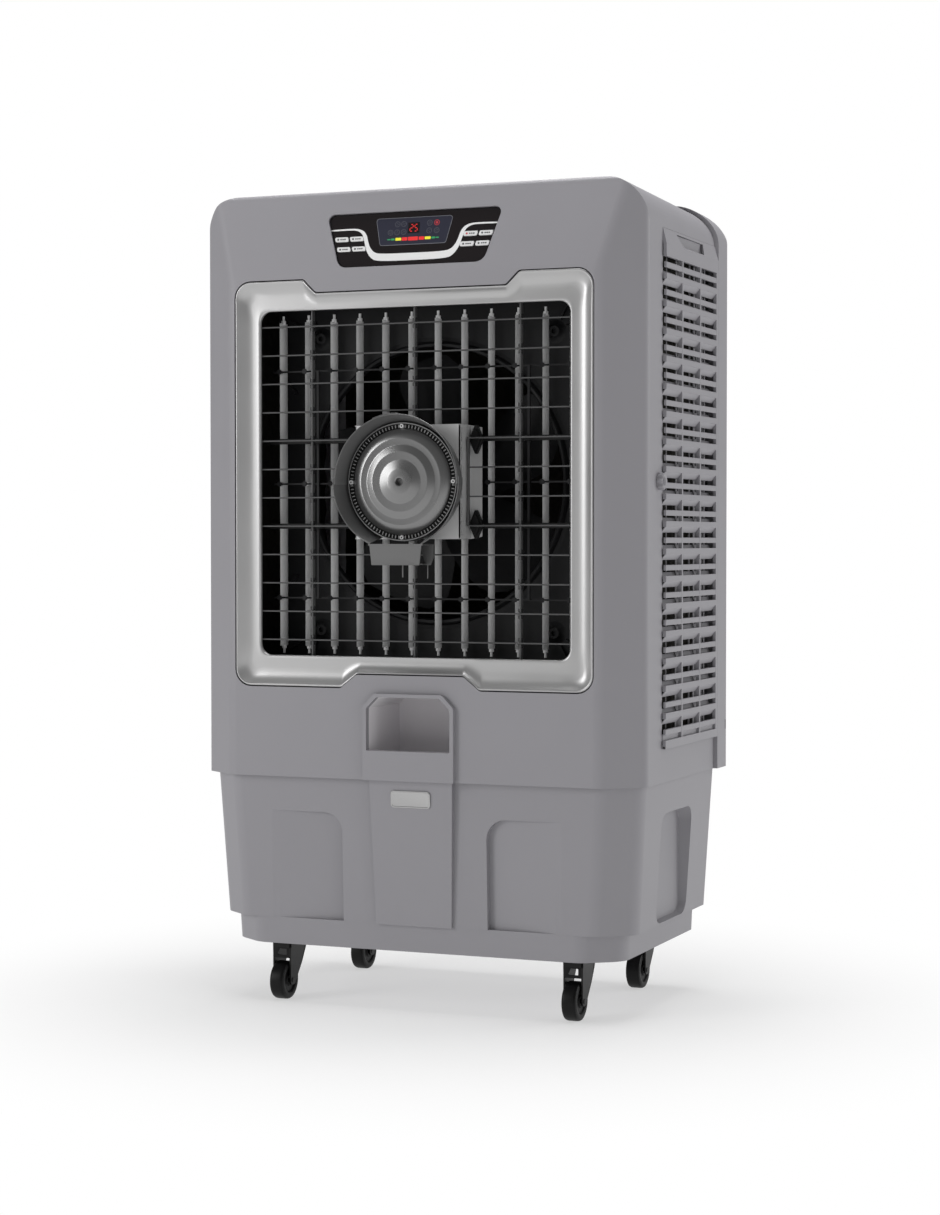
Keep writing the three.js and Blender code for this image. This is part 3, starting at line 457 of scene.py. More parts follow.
def ahead_of_seam(shift):
    """Everything in front of the seam, which climbs the side and rolls forward over the roof."""
    path = [(-400, 300), (SEAM + shift, 300), (SEAM + shift, 1384 + shift, SEAM_ROLL), (-400, 1404 + shift)]
    return prism("x", outline(path, 12), -500, 500)


def bezel_outline(grow, radius):
    """The bezel's edge, with a wide step in its top side and one in its bottom side."""
    soft = 9
    half, low, high = 325 + grow, 549.7 - grow, 1238.7 + grow
    return outline([
        (-half, low, radius), (-125.5 - grow, low, soft), (-96 - grow, 573 - grow, soft),
        (96 + grow, 573 - grow, soft), (125.5 + grow, low, soft), (half, low, radius),
        (half, high, radius), (197 - grow, high, soft), (174 - grow, 1216 + grow, soft),
        (-174 + grow, 1216 + grow, soft), (-197 + grow, high, soft), (-half, high, radius)], 6)


def face_plate(grow, steps=6):
    return outline([(-131 - grow, -46 - grow, 20), (131 + grow, -46 - grow, 20),
                    (160 + grow, 47 + grow, 11), (-160 - grow, 47 + grow, 11)], steps)


def port_outline():
    """The fill port, with its two upper corners cut."""
    h, b, t, c = 76, 445, 535, 19  # half its width, its bottom and top, and the cut
    return outline([(-h, b, 2), (h, b, 2), (h, t - c, 5), (h - c, t, 5), (-h + c, t, 5), (-h, t - c, 5)], 3)


def front_shell():
    form = boolean(body_form(HALF, TOP, 0), [ahead_of_seam(-0.4)], "INTERSECT")
    shell = boolean(form, [body_form(HALF, TOP, WALL)])
    raised = [(-82.6, SHELL_Z), (82.6, SHELL_Z), (82.6, 519, 7), (61.6, 541, 7), (-61.6, 541, 7),
              (-82.6, 519, 7)]
    shell = boolean(shell, [prism("y", outline(raised, 4), FRONT - 8, FRONT + 3)], "UNION")
    side_holes = [flipped(box(380, -89.4, 451.6, 420, REAR, 1314.4), s) for _, s in SIDES]
    return boolean(shell, [
        prism("y", bezel_outline(1.6, 29.4), FRONT - 30, FRONT + 60),
        on_fascia(prism("z", face_plate(0.8), -40, 30)),
        prism("y", port_outline(), FRONT - 30, FRONT + 30),
        rod("x", 4.6, -420, 420, (0, KNOB_Y, AXIS_Z), 20),
        *side_holes,
    ])


def rear_shell():
    half = HALF + PROUD
    form = boolean(body_form(half, REAR_TOP, 0), [ahead_of_seam(0)])
    # a return flange closes the step down to the front shell
    flange = boolean(boolean(form, [ahead_of_seam(4)], "INTERSECT"), [body_form(half, REAR_TOP, 16)])
    shell = boolean(boolean(form, [body_form(half, REAR_TOP, WALL)]), [flange], "UNION")
    return boolean(shell, [
        prism("y", rect(-330, 470, 330, 1290, 14), REAR - 20, REAR + 20),
        rod("y", 13.4, REAR - 20, REAR + 20, (-352, 0, 432)),
    ])


piece("front_shell_skin", front_shell(), "cabinet", GREY, ["front_shell"], bevel=1.0,
      segments=3)
# thin deep black boxes flush with the rear shell's sides: painted shade standing in for two latch slots
latch_shade_box = box(HALF + PROUD - 1, 255.6, 462, HALF + PROUD + 0.15, 258.4, 479)
piece("latch_slot_painted_shade", join(*[flipped(latch_shade_box, s) for _, s in SIDES]), "cabinet", PAINTED_SHADE)
piece("rear_shell_skin", rear_shell(), "cabinet", GREY, ["rear_shell"], bevel=1.2,
      segments=3)
carry("deck", GREY_DARK, 0.8)


# ---------------------------------------------------------------- silver bezel
def bezel():
    """A dished frame: it falls from its outer edge on a hollow curve, and rolls over into the opening."""
    inner, low, high, r = 282, 602, 1188, 20
    path = []
    rough = bezel_outline(0, 28)
    for i, p in enumerate(rough):
        q = rough[(i + 1) % len(rough)]
        n = max(1, int(math.dist(p, q) / 9))
        path += [(p[0] + (q[0] - p[0]) * k / n, p[1] + (q[1] - p[1]) * k / n) for k in range(n)]

    def mate(p):
        cx, cz = max(-inner + r, min(inner - r, p[0])), max(low + r, min(high - r, p[1]))
        d = Vector((p[0] - cx, p[1] - cz)).normalized() * r
        return cx + d.x, cz + d.y

    # (share of the first 24 mm, or 1 + share of the rest; depth from the front plane)
    section = [(0.0, 14.6), (0.0, 2.0), (0.02, 0.9), (0.07, 0.1), (0.13, 0.3), (0.24, 2.3), (0.40, 5.0),
               (0.58, 7.4), (0.78, 9.2), (1.0, 10.2), (1.3, 10.5), (1.78, 10.2), (1.9, 10.0), (1.96, 10.5),
               (2.0, 12.0), (2.0, 15.6)]
    rings = []
    for share, depth in section:
        ring = []
        for p in path:
            q = mate(p)
            length = math.dist(p, q)
            first = min(24.0, length * 0.6)
            w = share * first if share <= 1 else first + (share - 1) * (length - first)
            t = w / length
            ring.append((p[0] + (q[0] - p[0]) * t, FRONT + depth, p[1] + (q[1] - p[1]) * t))
        rings.append(ring)
    return loft(rings, closed=True)


piece("bezel_frame", bezel(), "cabinet", SILVER, ["bezel"], angle=50)


# ---------------------------------------------------------------- outlet guard
def guard():
    """Level bars on three upright ribs in a rim, left open round the motor."""
    y, reach, pitch = GUARD_Y, 294, GUARD_PITCH
    rim = boolean(prism("y", rect(-reach, 590, reach, 1200, 4), y, y + 8),
                  [prism("y", rect(-reach + 8, 598, reach - 8, 1192, 12), y - 1, y + 9)])
    bay = 1.5 * pitch
    parts = [rim]
    for i in range(12):
        z = AXIS_Z + (i - 5.5) * pitch
        spans = [(-reach + 5, reach - 5)]
        if abs(z - AXIS_Z) <= bay + 5:
            spans = [(-reach + 5, -98), (98, reach - 5)]
        for a, b in spans:
            parts.append(prism("x", rect(y, z - 1.3, y + 7, z + 1.3, 1.1, 3), a, b))
    for x in GUARD_RIBS:
        spans = [(595, 1195)] if x else [(595, AXIS_Z - bay), (AXIS_Z + bay, 1195)]
        for a, b in spans:
            parts.append(prism("z", rect(x - 1.6, y + 6, x + 1.6, y + 16, 1), a, b))
    for x in (-99, 99):
        parts.append(prism("z", rect(x - 1.5, y, x + 1.5, y + 7.5, 1), AXIS_Z - bay - 1, AXIS_Z + bay + 1))
    return join(*parts)


def guard_clips():
    """Snap clips that hold the level bars to the three ribs."""
    parts = []
    for i in range(12):
        z = AXIS_Z + (i - 5.5) * GUARD_PITCH
        for x in GUARD_RIBS:
            if x == 0 and abs(z - AXIS_Z) < 80:
                continue
            for d in (-1, 1):
                clip = rect(x - 3.6, GUARD_Y + 6.5, x + 3.6, GUARD_Y + 14, 1.5)
                parts.append(prism("z", clip, z + d * 2.2, z + d * 8.5))
    return join(*parts)


piece("outlet_guard_bars", guard(), "cabinet", GUARD_GREY, ["outlet_guard"], angle=40)
piece("outlet_guard_clips", guard_clips(), "cabinet", BLACK, bevel=0.5)


# ---------------------------------------------------------------- control panel
def stripe():
    """The white band: level from each side, down an S-curve, then thick across the middle."""
    upper = [(-154.5, 21.9), (-120, 22.6), (-104, 22.2), (-92, 18), (-85.5, 10), (-82, -2), (-78, -12),
             (-71, -20), (-60, -24.2), (0, -24.6)]
    lower = [(-153.6, 19.2), (-120, 19.8), (-105, 19.0), (-96, 14.4), (-91, 6), (-88, -6), (-84, -18),
             (-76, -30), (-64, -36.8), (0, -37.4)]
    upper += [(-u, v) for u, v in reversed(upper[:-1])]
    lower += [(-u, v) for u, v in reversed(lower[:-1])]
    return upper + lower[::-1]


def smooth_path(points, passes=2):
    """Chaikin corner cutting of a closed path."""
    for _ in range(passes):
        cut = []
        for i, p in enumerate(points):
            q = points[(i + 1) % len(points)]
            cut += [(0.75 * p[0] + 0.25 * q[0], 0.75 * p[1] + 0.25 * q[1]),
                    (0.25 * p[0] + 0.75 * q[0], 0.25 * p[1] + 0.75 * q[1])]
        points = cut
    return points


PRINT = (-5.0, -4.75)  # a printed layer on the plate's front, between these depths


def printed(path, lift=0.0):
    return on_fascia(prism("z", path, PRINT[0] - 0.3, PRINT[1] + lift))


def disc(u, v, r, n=20):
    angles = [2 * math.pi * k / n for k in range(n)]
    return [(u + r * math.cos(a), v + r * math.sin(a)) for a in angles]


def hoop(u, v, r, width, lift):
    """A printed circle line."""
    a, b = disc(u, v, r, 24), disc(u, v, r - width, 24)
    rings = [[(*p, PRINT[0] - 0.3) for p in a], [(*p, PRINT[1] + lift) for p in a],
             [(*p, PRINT[1] + lift) for p in b], [(*p, PRINT[0] - 0.3) for p in b]]
    return on_fascia(loft(rings, closed=True))


def digit(u, v, w, h, lit):
    """One seven-segment digit."""
    t, slant = 1.5, 0.09
    bars = {"a": (0, h, w, h), "b": (w, h / 2, w, h), "c": (w, 0, w, h / 2), "d": (0, 0, w, 0),
            "e": (0, 0, 0, h / 2), "f": (0, h / 2, 0, h), "g": (0, h / 2, w, h / 2)}
    shapes = []
    for k in lit:
        x0, y0, x1, y1 = bars[k]
        if y0 == y1:
            path = [(x0 + 0.7, y0), (x0 + 1.4, y0 + t / 2), (x1 - 1.4, y0 + t / 2), (x1 - 0.7, y0),
                    (x1 - 1.4, y0 - t / 2), (x0 + 1.4, y0 - t / 2)]
        else:
            path = [(x0, y0 + 0.7), (x0 - t / 2, y0 + 1.4), (x0 - t / 2, y1 - 1.4), (x0, y1 - 0.7),
                    (x0 + t / 2, y1 - 1.4), (x0 + t / 2, y0 + 1.4)]
        shapes.append(printed([(u + a + slant * b, v + b) for a, b in path], 0.5))
    return join(*shapes)


KEY_SIZE, KEY_SLANT = (24.5, 8.2), 0.3
KEY_ROWS = ((103.6, 3.9), (98.5, -13.6))
KEYS = [(s, s * (u + k * 27.6), v) for _, s in SIDES for u, v in KEY_ROWS for k in (0, 1)]


def key_outline(s, grow=0.0):
    w, h = KEY_SIZE[0] / 2 + grow, KEY_SIZE[1] / 2 + grow
    lean = KEY_SLANT * h * s
    return outline([(-w - lean, -h, 1.6), (w - lean, -h, 1.6), (w + lean, h, 1.6), (-w + lean, h, 1.6)], 4)


def control_plate():
    plate = on_fascia(prism("z", face_plate(0, 8), -12, -5))
    wells = [on_fascia(moved(prism("z", key_outline(s, 0.4), -20, 0), (u, v, 0))) for s, u, v in KEYS]
    return boolean(plate, wells)


piece("control_plate", control_plate(), "cabinet", PANEL_BLACK, ["control_panel"], bevel=0.6,
      segments=3)
piece("panel_stripe", printed(smooth_path(stripe())), "cabinet", PRINT_WHITE, angle=40)
window_edge = outline([(-60, -10.3, 5), (60, -10.3, 5), (70.5, 37.5, 5), (-70.5, 37.5, 5)], 6)
window_glass = outline([(-59.2, -9.3, 4.2), (59.2, -9.3, 4.2), (69.3, 36.5, 4.2), (-69.3, 36.5, 4.2)], 6)
piece("display_frame", printed(window_edge), "cabinet", PRINT_GREY, angle=40)
piece("display_glass", printed(window_glass, 0.15), "cabinet", PANEL_WINDOW, angle=40)
digits_back = printed(rect(-10.5, 9.6, 10.5, 28, 0.6), 0.3)
digits = join(digit(-6.9, 12.8, 5, 11.6, "abged"), digit(1.2, 12.8, 5, 11.6, "afgcd"))
piece("display_digits_back", digits_back, "cabinet", PANEL_BLACK)
piece("display_digits", digits, "cabinet", GLOW_RED)
ICONS = [(-30, 26), (-18.6, 26), (-42, 12), (-30, 12), (-18, 12), (28.4, 26), (28.4, 12.6), (41.9, 12.4)]
icon_shapes = []
for k, (u, v) in enumerate(ICONS):
    icon_shapes.append(hoop(u, v, 4.9, 0.8, 0.3))
    for j in range(3 + k % 3):  # a generic little mark in each circle
        a = 2 * math.pi * j / (3 + k % 3) + 0.5 * k
        icon_shapes.append(printed(disc(u + 2 * math.cos(a), v + 2 * math.sin(a), 0.75, 8), 0.3))
piece("display_icons", join(*icon_shapes), "cabinet", PRINT_FAINT, angle=40)
icon_red = join(hoop(41.4, 26, 4.9, 1.0, 0.3), printed(disc(41.4, 26, 2.2, 16), 0.3))
piece("display_icon_red", icon_red, "cabinet", PRINT_RED, angle=40)
# lamps of the level bar: from, to, half height
LEVELS = (("green", GLOW_GREEN, [(-47, -41, 1.0), (-40, -33.5, 1.6), (33.5, 40, 1.6), (41, 47, 1.0)]),
          ("yellow", GLOW_YELLOW, [(-32, -21.5, 2.4), (21.5, 32, 2.4)]),
          ("red", GLOW_RED, [(-20.5, -10.5, 2.8), (-9, 9, 3.2), (10.5, 20.5, 2.8)]))
for label, look, lamps in LEVELS:
    bars = join(*(printed(rect(a, -h, b, h, min(1.0, h * 0.9)), 0.3) for a, b, h in lamps))
    piece("level_bar_" + label, bars, "cabinet", look)
for n, (s, u, v) in enumerate(KEYS, 1):
    carry(f"key_{n}", KEY_WHITE, 0.5, 3)
    marks = [disc(-6.5, 0, 1.7, 12)]
    marks += [rect(-2.5 + 3.6 * k, -1.0, 0.2 + 3.6 * k, 1.0, 0.3) for k in range(3)]
    legend = [on_fascia(moved(prism("z", path, -3.9, -3.65), (u, v, 0))) for path in marks]
    red = n == 5
    piece(f"key_{n}_legend", join(*(legend[1:] if red else legend)), f"key_{n}", PRINT_DARK)
    if red:
        piece(f"key_{n}_mark", legend[0], f"key_{n}", PRINT_RED)


# ---------------------------------------------------------------- fan motor, cowl and bracket
def motor_dome():
    profile = [(0, -246), (5.5, -246), (6.5, -255.2), (8, -256), (20, -256), (22, -255.6), (36, -251.6),
               (37.5, -251.4), (49, -253.2), (51, -253), (60.5, -248.6), (62.5, -248.2), (71, -249.8),
               (73, -249.6), (86, -244.4), (87.4, -242.8), (87.8, -239), (96, -239), (96.3, -243.4),
               (98, -243.4), (98, -238), (74, -234), (74, -191), (70, -186),
               (60, -182), (60, -166), (8, -166), (8, -216), (0, -216)]
    return turned("y", profile, sides=96)


def motor_fins():
    """Short radial fins in the vent groove round the dome, but none under the four screws."""
    parts = []
    fin = box(89.4, -242.4, -0.8, 94.6, -239.2, 0.8)
    for k in range(96):
        if k % 24 == 0:
            continue
        a = 2 * math.pi * k / 96
        parts.append(moved(fin, (0, 0, AXIS_Z), Matrix.Rotation(a, 4, "Y")))
    return join(*parts)


def motor_screws():
    parts = []
    for k in range(4):
        a = math.pi / 2 * k
        centre = (92.3 * math.cos(a), 0, AXIS_Z + 92.3 * math.sin(a))
        head = [(1.2, -243), (1.6, -245.4), (3.3, -245.4), (3.9, -244.6), (3.9, -240), (1.2, -240)]
        parts.append(turned("y", head, centre, 20))
    return join(*parts)


piece("motor_dome", motor_dome(), "cabinet", STEEL, ["fan_motor"], angle=28)
# a deep black ring at the bottom of the vent groove round the dome: painted shade
vent_shade = turned("y", [(88.1, -240.4), (95.7, -240.4), (95.7, -238.8), (88.1, -238.8)], sides=96)
piece("motor_vent_painted_shade", vent_shade, "cabinet", PAINTED_SHADE, angle=40)
piece("motor_vent_fins", motor_fins(), "cabinet", STEEL)
piece("motor_screws", motor_screws(), "cabinet", ZINC, angle=40)


def band(r0, r1, y0, y1, start, end, steps=60):
    """Part of a drum between two angles, in degrees from the right, going up."""
    taper = 0.27 * (y1 - y0)  # the drum widens towards its mouth
    section = [(r0, y0 + 0.8), (r0 + 0.8, y0), (r1 - 0.5, y0), (r1, y0 + 0.6), (r1 - taper, y1),
               (r0 - taper, y1)]
    rings = []
    for k in range(steps + 1):
        a = math.radians(start + (end - start) * k / steps)
        rings.append([(r * math.cos(a), y, AXIS_Z + r * math.sin(a)) for r, y in section])
    return loft(rings)


def motor_cowl():
    """An open drum round the motor: two side walls, an inner upper one, and a tray below."""
    rim, back = -272, -222.4
    low = math.degrees(math.asin(-103 / 113))
    upper = band(109.2, 111.2, rim + 1, back, -2, 182, 90)
    lug = band(111.0, 113.0, rim + 2, rim + 22, 88, 112, 16)
    left = band(111.4, 113.4, rim, back, 180 - 4, 180 - low, 50)
    right = band(111.4, 113.4, rim, back, low, 4, 50)
    floor = box(-49, rim + 0.5, 789.4, 49, back, 792)
    tray_front = prism("y", outline([(-47, 792), (47, 792), (43, 757, 1), (-43, 757, 1)]), rim + 1, rim + 3.4)
    tray_side = [(34, 790), (57, 790), (57, 770, 2), (52, 757, 2), (42, 757, 2)]
    tray_back = prism("y", outline(tray_side), rim + 28, rim + 30)
    pins = [rod("z", 1.3, 737, 760, (8, rim + 14, 0), 10), rod("z", 1.0, 735, 760, (46, rim + 30, 0), 10)]
    ties = [box(20, rim + 12, 757.5, 44, rim + 30, 759.5), box(4, rim + 2, 757.5, 24, rim + 15, 759.5)]
    ring_back = boolean(rod("y", 99, back - 2.5, back - 0.5, (0, 0, AXIS_Z), 96),
                        [rod("y", 76, back - 6, back + 1, (0, 0, AXIS_Z), 72),
                         box(-200, back - 10, 600, 200, back + 5, 792)])
    return join(upper, lug, left, right, floor, tray_front, tray_back, *pins, *ties, ring_back)


piece("motor_cowl_shell", motor_cowl(), "cabinet", COWL, ["motor_cowl"], angle=35)


def diamond(s, d, grow):
    """A clamp's outline where a strut passes the bracket."""
    x, z = s * 107, AXIS_Z + d * 71
    w, h = 12.5 + grow * 0.8, 24 + grow * 1.4
    return [(x - w, z), (x - 2, z - h), (x + 2, z - h), (x + w, z), (x + 2, z + h), (x - 2, z + h)]


def motor_bracket():
    low, high = AXIS_Z - 95, AXIS_Z + 95
    face = boolean(prism("y", rect(-95, low, 95, high, 3), -222, -220),
                   [rod("y", 75, -226, -216, (0, 0, AXIS_Z), 72)])
    slits = [box(90, -216, AXIS_Z + z, 98, -212, AXIS_Z + z + 22) for z in (-88, -58, -28, 6, 36, 66)]
    wall = boolean(box(93, -222, low, 95, -172, high), slits)
    lip = prism("y", outline([(94, low), (115, low + 4), (115, high - 4), (94, high)]), -174, -172)
    parts = [face]
    for _, s in SIDES:
        parts += [flipped(wall, s), flipped(lip, s)]
    return join(*parts)


piece("motor_bracket_sheet", motor_bracket(), "cabinet", ZINC, ["motor_bracket"], angle=35)
for level, d in (("lower", -1), ("upper", 1)):
    z = AXIS_Z + d * 72.6
    bar = prism("x", rect(-171.6, z - 4.5, -164.6, z + 4.5, 1.2), -292, 292)
    clamps = [prism("y", diamond(s, d, 0), -182, -174.3) for _, s in SIDES]
    caps = [prism("y", diamond(s, d, -5), -186, -182) for _, s in SIDES]
    piece("strut_" + level, join(bar, *clamps, *caps), "cabinet", POWDER,
          ["motor_strut_" + level], bevel=0.8)


# ---------------------------------------------------------------- fan plate and fan
def fan_plate():
    """A flat plate with the fan's bore, its rolled lip, four bosses and their ribs."""
    plate = boolean(prism("y", rect(-300, 585, 300, 1205, 14), -96, -93),
                    [rod("y", 232, -120, -60, (0, 0, AXIS_Z), 96)])
    roll = [(232, -93), (232, -101), (234, -104.5), (238, -105), (241, -103), (243, -97), (250, -96),
            (250, -93)]
    lip = turned("y", roll, sides=96)
    ribs, bosses = [], []
    for _, s in SIDES:
        for d in (-1, 1):
            cx, cz = s * 216, AXIS_Z + d * 253
            boss = [(4.5, -93), (4.5, -103), (9, -103), (11, -101), (14, -97.5), (20, -96), (20, -93)]
            bosses.append(turned("y", boss, (cx, 0, cz), 32))
            for turn, reach in ((0.5, 70), (1.1, 52)):
                dx, dz = s * math.cos(turn), d * math.sin(turn)
                a = Vector((cx + dx * 22, cz + dz * 22))
                b = Vector((cx + dx * reach, cz + dz * reach))
                side = Vector((-dz, dx)) * 1.6
                ribs.append([tuple(a + side), tuple(b + side), tuple(b - side), tuple(a - side)])
            brace = ((262, 160), (292, 190), (292, 182), (268, 158))
            ribs.append([(s * x, AXIS_Z + d * z) for x, z in brace])
    keep_in = [prism("y", rect(-298, 587, 298, 1203), -130, -50)]
    ribs = join(*[prism("y", rib, -102, -94) for rib in ribs])
    return join(plate, lip, *bosses, boolean(ribs, keep_in, "INTERSECT"))


piece("fan_plate_venturi", fan_plate(), "cabinet", BLACK, ["fan_plate"], angle=38)


def fan_blade(turn):
    """A bowed blade, wider and flatter towards its tip."""
    stations, across = 14, 12
    front, back = [], []
    for i in range(stations):
        t = i / (stations - 1)
        radius = 46 + 175 * t
        chord = (92 + 78 * math.sin(t * math.pi * 0.62)) * (1 - 0.30 * max(0, (t - 0.86) / 0.14) ** 2)
        pitch = math.radians(38 - 14 * t)
        for k in range(across):
            c = (k / (across - 1) - 0.5) * chord
            q = 2 * k / (across - 1) - 1
            bow = 9 * (1 - q * q)
            along = c * math.cos(pitch) - bow * math.sin(pitch)
            y = -52 + c * math.sin(pitch) + bow * math.cos(pitch)
            a = along / radius + turn + 0.16 * t
            thick = 1.7 * math.sqrt(max(0.03, 1 - q * q))
            for face, side in ((front, -1), (back, 1)):
                face.append((radius * math.cos(a), y + side * thick, radius * math.sin(a) + AXIS_Z))
    n = len(front)
    at = lambda i, k: i * across + k
    faces = []
    for i in range(stations - 1):
        for k in range(across - 1):
            faces.append((at(i, k), at(i, k + 1), at(i + 1, k + 1), at(i + 1, k)))
            faces.append((n + at(i, k), n + at(i + 1, k), n + at(i + 1, k + 1), n + at(i, k + 1)))
    edge = [at(i, k) for i, k in border(stations, across)]
    for j, p in enumerate(edge):
        q = edge[j - 1]
        faces.append((p, q, n + q, n + p))
    return front + back, faces


def fan():
    profile = [(0, -88), (30, -88), (46, -84.5), (53, -78), (56, -70), (56, -20), (44, -20), (44, -64),
               (14, -68), (14, -24), (0, -24)]
    hub = turned("y", profile, sides=64)
    shaft = rod("y", 7, -212, -80, (0, 0, AXIS_Z), 24)
    return join(hub, shaft, *(fan_blade(2 * math.pi * k / 5 + 0.35) for k in range(5)))


piece("fan_wheel", fan(), "fan", BLACK, ["fan_impeller"], angle=40)


# ---------------------------------------------------------------- swinging blades and their link
def louvre_blade():
    """One upright blade on its own axis, notched where the link's bars cross it."""
    half = [(0, -15), (1.3, -12), (2, -6), (2.1, 0), (2, 6), (1.3, 12)]
    slab = prism("z", half + [(-x, -y) for x, y in half], 616, 1172)
    slab = boolean(slab, [box(-5, -20, z - 3.4, 5, -6.2, z + 3.4) for z in LINK_HEIGHTS])
    ends = [rod("z", 2.2, 603, 618, (0, 0, 0), 14), rod("z", 2.2, 1170, 1185, (0, 0, 0), 14)]
    caps = [prism("z", disc(0, 0, 4.2, 14), a, b) for a, b in ((611, 617), (1171, 1177))]
    pins = [rod("z", 0.9, z - 4, z + 4, (0, PIN_Y - BLADE_Y, 0), 10) for z in LINK_HEIGHTS]
    return join(slab, *ends, *caps, *pins)


def blade_x(i):
    return (i - (BLADES - 1) / 2) * BLADE_PITCH


blade = louvre_blade()
# the blades' finish is paler than their own light grey: painted light
for i in range(BLADES):
    piece(f"blade_{i + 1}_moulding", moved(blade, (blade_x(i), BLADE_Y, 0)), f"blade_{i + 1}", BLADE_PAINTED_LIGHT,
          [f"louvre_blade_{i + 1}"], angle=28)


def louvre_link():
    """Three level bars behind the blades' pins, tied by two uprights; the middle bar passes the motor."""
    reach = blade_x(BLADES - 1) + 14
    parts = []
    for z in LINK_HEIGHTS:
        spans = [(-reach, -60), (60, reach)] if z == AXIS_Z else [(-reach, reach)]
        for a, b in spans:
            parts.append(prism("x", rect(PIN_Y + 0.9, z - 1.5, PIN_Y + 3.5, z + 1.5, 0.5, 2), a, b))
    for x in (-193.5, 193.5):
        parts.append(box(x - 2, PIN_Y - 3.5, LINK_HEIGHTS[0], x + 2, PIN_Y + 1, LINK_HEIGHTS[-1]))
    for x in map(blade_x, range(BLADES)):
        for z in LINK_HEIGHTS:
            if z == AXIS_Z and abs(x) < 70:
                continue
            # a round clip stands in front of each pin on two small legs
            parts.append(prism("y", disc(x, z, 4.4, 16), PIN_Y - 5.6, PIN_Y - 3.6))
            parts += [box(x + d * 2.7 - 0.7, PIN_Y - 4, z - 0.8, x + d * 2.7 + 0.7, PIN_Y + 2, z + 0.8)
                      for d in (-1, 1)]
    return join(*parts)


piece("link_bars", louvre_link(), "louvre_link", BLACK, ["louvre_link"], angle=35)


# ---------------------------------------------------------------- tank
PAD_LOW, PAD_HIGH = -196, -210  # the face of the tank's raised middle, below and above
TANK_TOP, TANK_BOTTOM, TANK_FRONT, TANK_REAR = 394.6, 149, -200, 252
POCKET_X, POCKET_TOP = 132, 335  # inner edge and top of a front pocket


def tapered(low, high, corner, soft):
    """Rings between two levels (half, front, rear, z) with cut front corners, all softened."""
    def ring(half, front, rear, z):
        left = [(-half, rear, 22), (-half, front + 45, soft), (-half + corner, front, soft)]
        right = [(-x, y, radius) for x, y, radius in reversed(left)]
        return [(x, y, z) for x, y in outline(left + right, 7)]
    return loft([ring(*low), ring(*high)])


def front_pocket(s):
    """Deepest beside the raised middle, running out to nothing towards the corner."""
    def floor_at(x, z):
        out = min(1, max(0, (x - POCKET_X) / 165))
        face = TANK_FRONT + 9 - 9 * (z - TANK_BOTTOM) / (TANK_TOP - TANK_BOTTOM)
        return face + 10.5 * (1 - out) ** 0.8 - 3.5 * out

    path = [(s * POCKET_X, 140), (s * 430, 140), (s * 430, POCKET_TOP), (s * POCKET_X, POCKET_TOP, 34)]
    block = prism("y", outline(path, 8), TANK_FRONT - 40, TANK_FRONT + 30)
    block = boolean(block, [box(-500, -400, 100, 500, -150, TANK_BOTTOM - 0.1)])
    ahead = TANK_FRONT - 60
    rings = []
    for x in [POCKET_X + 11 * k for k in range(16)] + [430]:
        corners = ((ahead, 100), (floor_at(x, 100), 100), (floor_at(x, 400), 400), (ahead, 400))
        rings.append([(s * x, y, z) for y, z in corners])
    return boolean(block, [loft(rings)], "INTERSECT")


def side_pocket(s):
    wide, tight = rect(-48, 150, 122, 339, 26, 7), rect(-44, 154, 117, POCKET_TOP, 21, 7)
    return loft([[(s * x, y, z) for y, z in path] for x, path in ((366, tight), (384, wide), (430, wide))])


def tank():
    """A tapered basin on a plinth, with pockets in its sides and a raised middle in front."""
    body = tapered((378, TANK_FRONT + 9, TANK_REAR - 4, TANK_BOTTOM),
                   (393, TANK_FRONT, TANK_REAR, TANK_TOP), 59, 38)
    pockets = [make(s) for _, s in SIDES for make in (front_pocket, side_pocket)]
    body = boolean(body, pockets)
    pad = loft([[(-h, near, z), (h, near, z), (h, far, z), (-h, far, z)] for h, near, far, z in
                ((69, PAD_LOW, -186, TANK_BOTTOM), (75.5, PAD_HIGH, -188, TANK_TOP))])
    plinth = tapered((357, -188, 243, 104), (359, -190, 243, 150), 62, 44)
    body = boolean(body, [pad, plinth], "UNION")
    basin = tapered((356, -166, 226, 154), (371, -176, 230, 420), 59, 20)
    stems = [rod("z", 5.8, 90, 122, (s * CASTER_X, y + TRAIL, 0), 16) for _, s in SIDES for _, y in CASTER_YS]
    drain = rod("y", 12, 200, 300, DRAIN, 24)
    return boolean(body, [basin, *stems, drain])


piece("tank_moulding", tank(), "cabinet", GREY, ["tank"], bevel=3.2, segments=4, angle=34)


def name_plate():
    """A plain raised plate with a rim: no lettering."""
    rings = []
    for g, y in ((0.0, -0.4), (0.0, -1.9), (0.9, -2.5), (1.9, -2.5), (2.7, -1.6), (3.4, -1.5)):
        rings.append([(x, y, z) for x, z in rect(-36 + g, -14.5 + g, 36 - g, 14.5 - g, 6 - g * 0.9, 5)])
    slope = (PAD_LOW - PAD_HIGH) / (TANK_TOP - TANK_BOTTOM)
    z = 364
    tilt = Matrix.Rotation(math.atan(slope), 4, "X")
    return moved(loft(rings), (0, PAD_HIGH + slope * (TANK_TOP - z), z), tilt)


piece("name_plate_blank", name_plate(), "cabinet", SILVER, ["name_plate"], angle=24)


def drain_plug():
    head = [(0, 253), (15.6, 253), (17, 254.4), (17, 260.4), (15.6, 262), (11, 262), (10, 260.6), (0, 260.6)]
    shank = [(0, 205), (9.5, 205), (11, 207), (11, 252), (6, 252), (6, 254), (0, 254)]
    grip, plug = turned("y", head, DRAIN, 40), turned("y", shank, DRAIN, 32)
    wing = prism("y", rect(58.4, 169, 61.6, 187, 1.5), 260, 263.8)
    return join(grip, wing, plug)


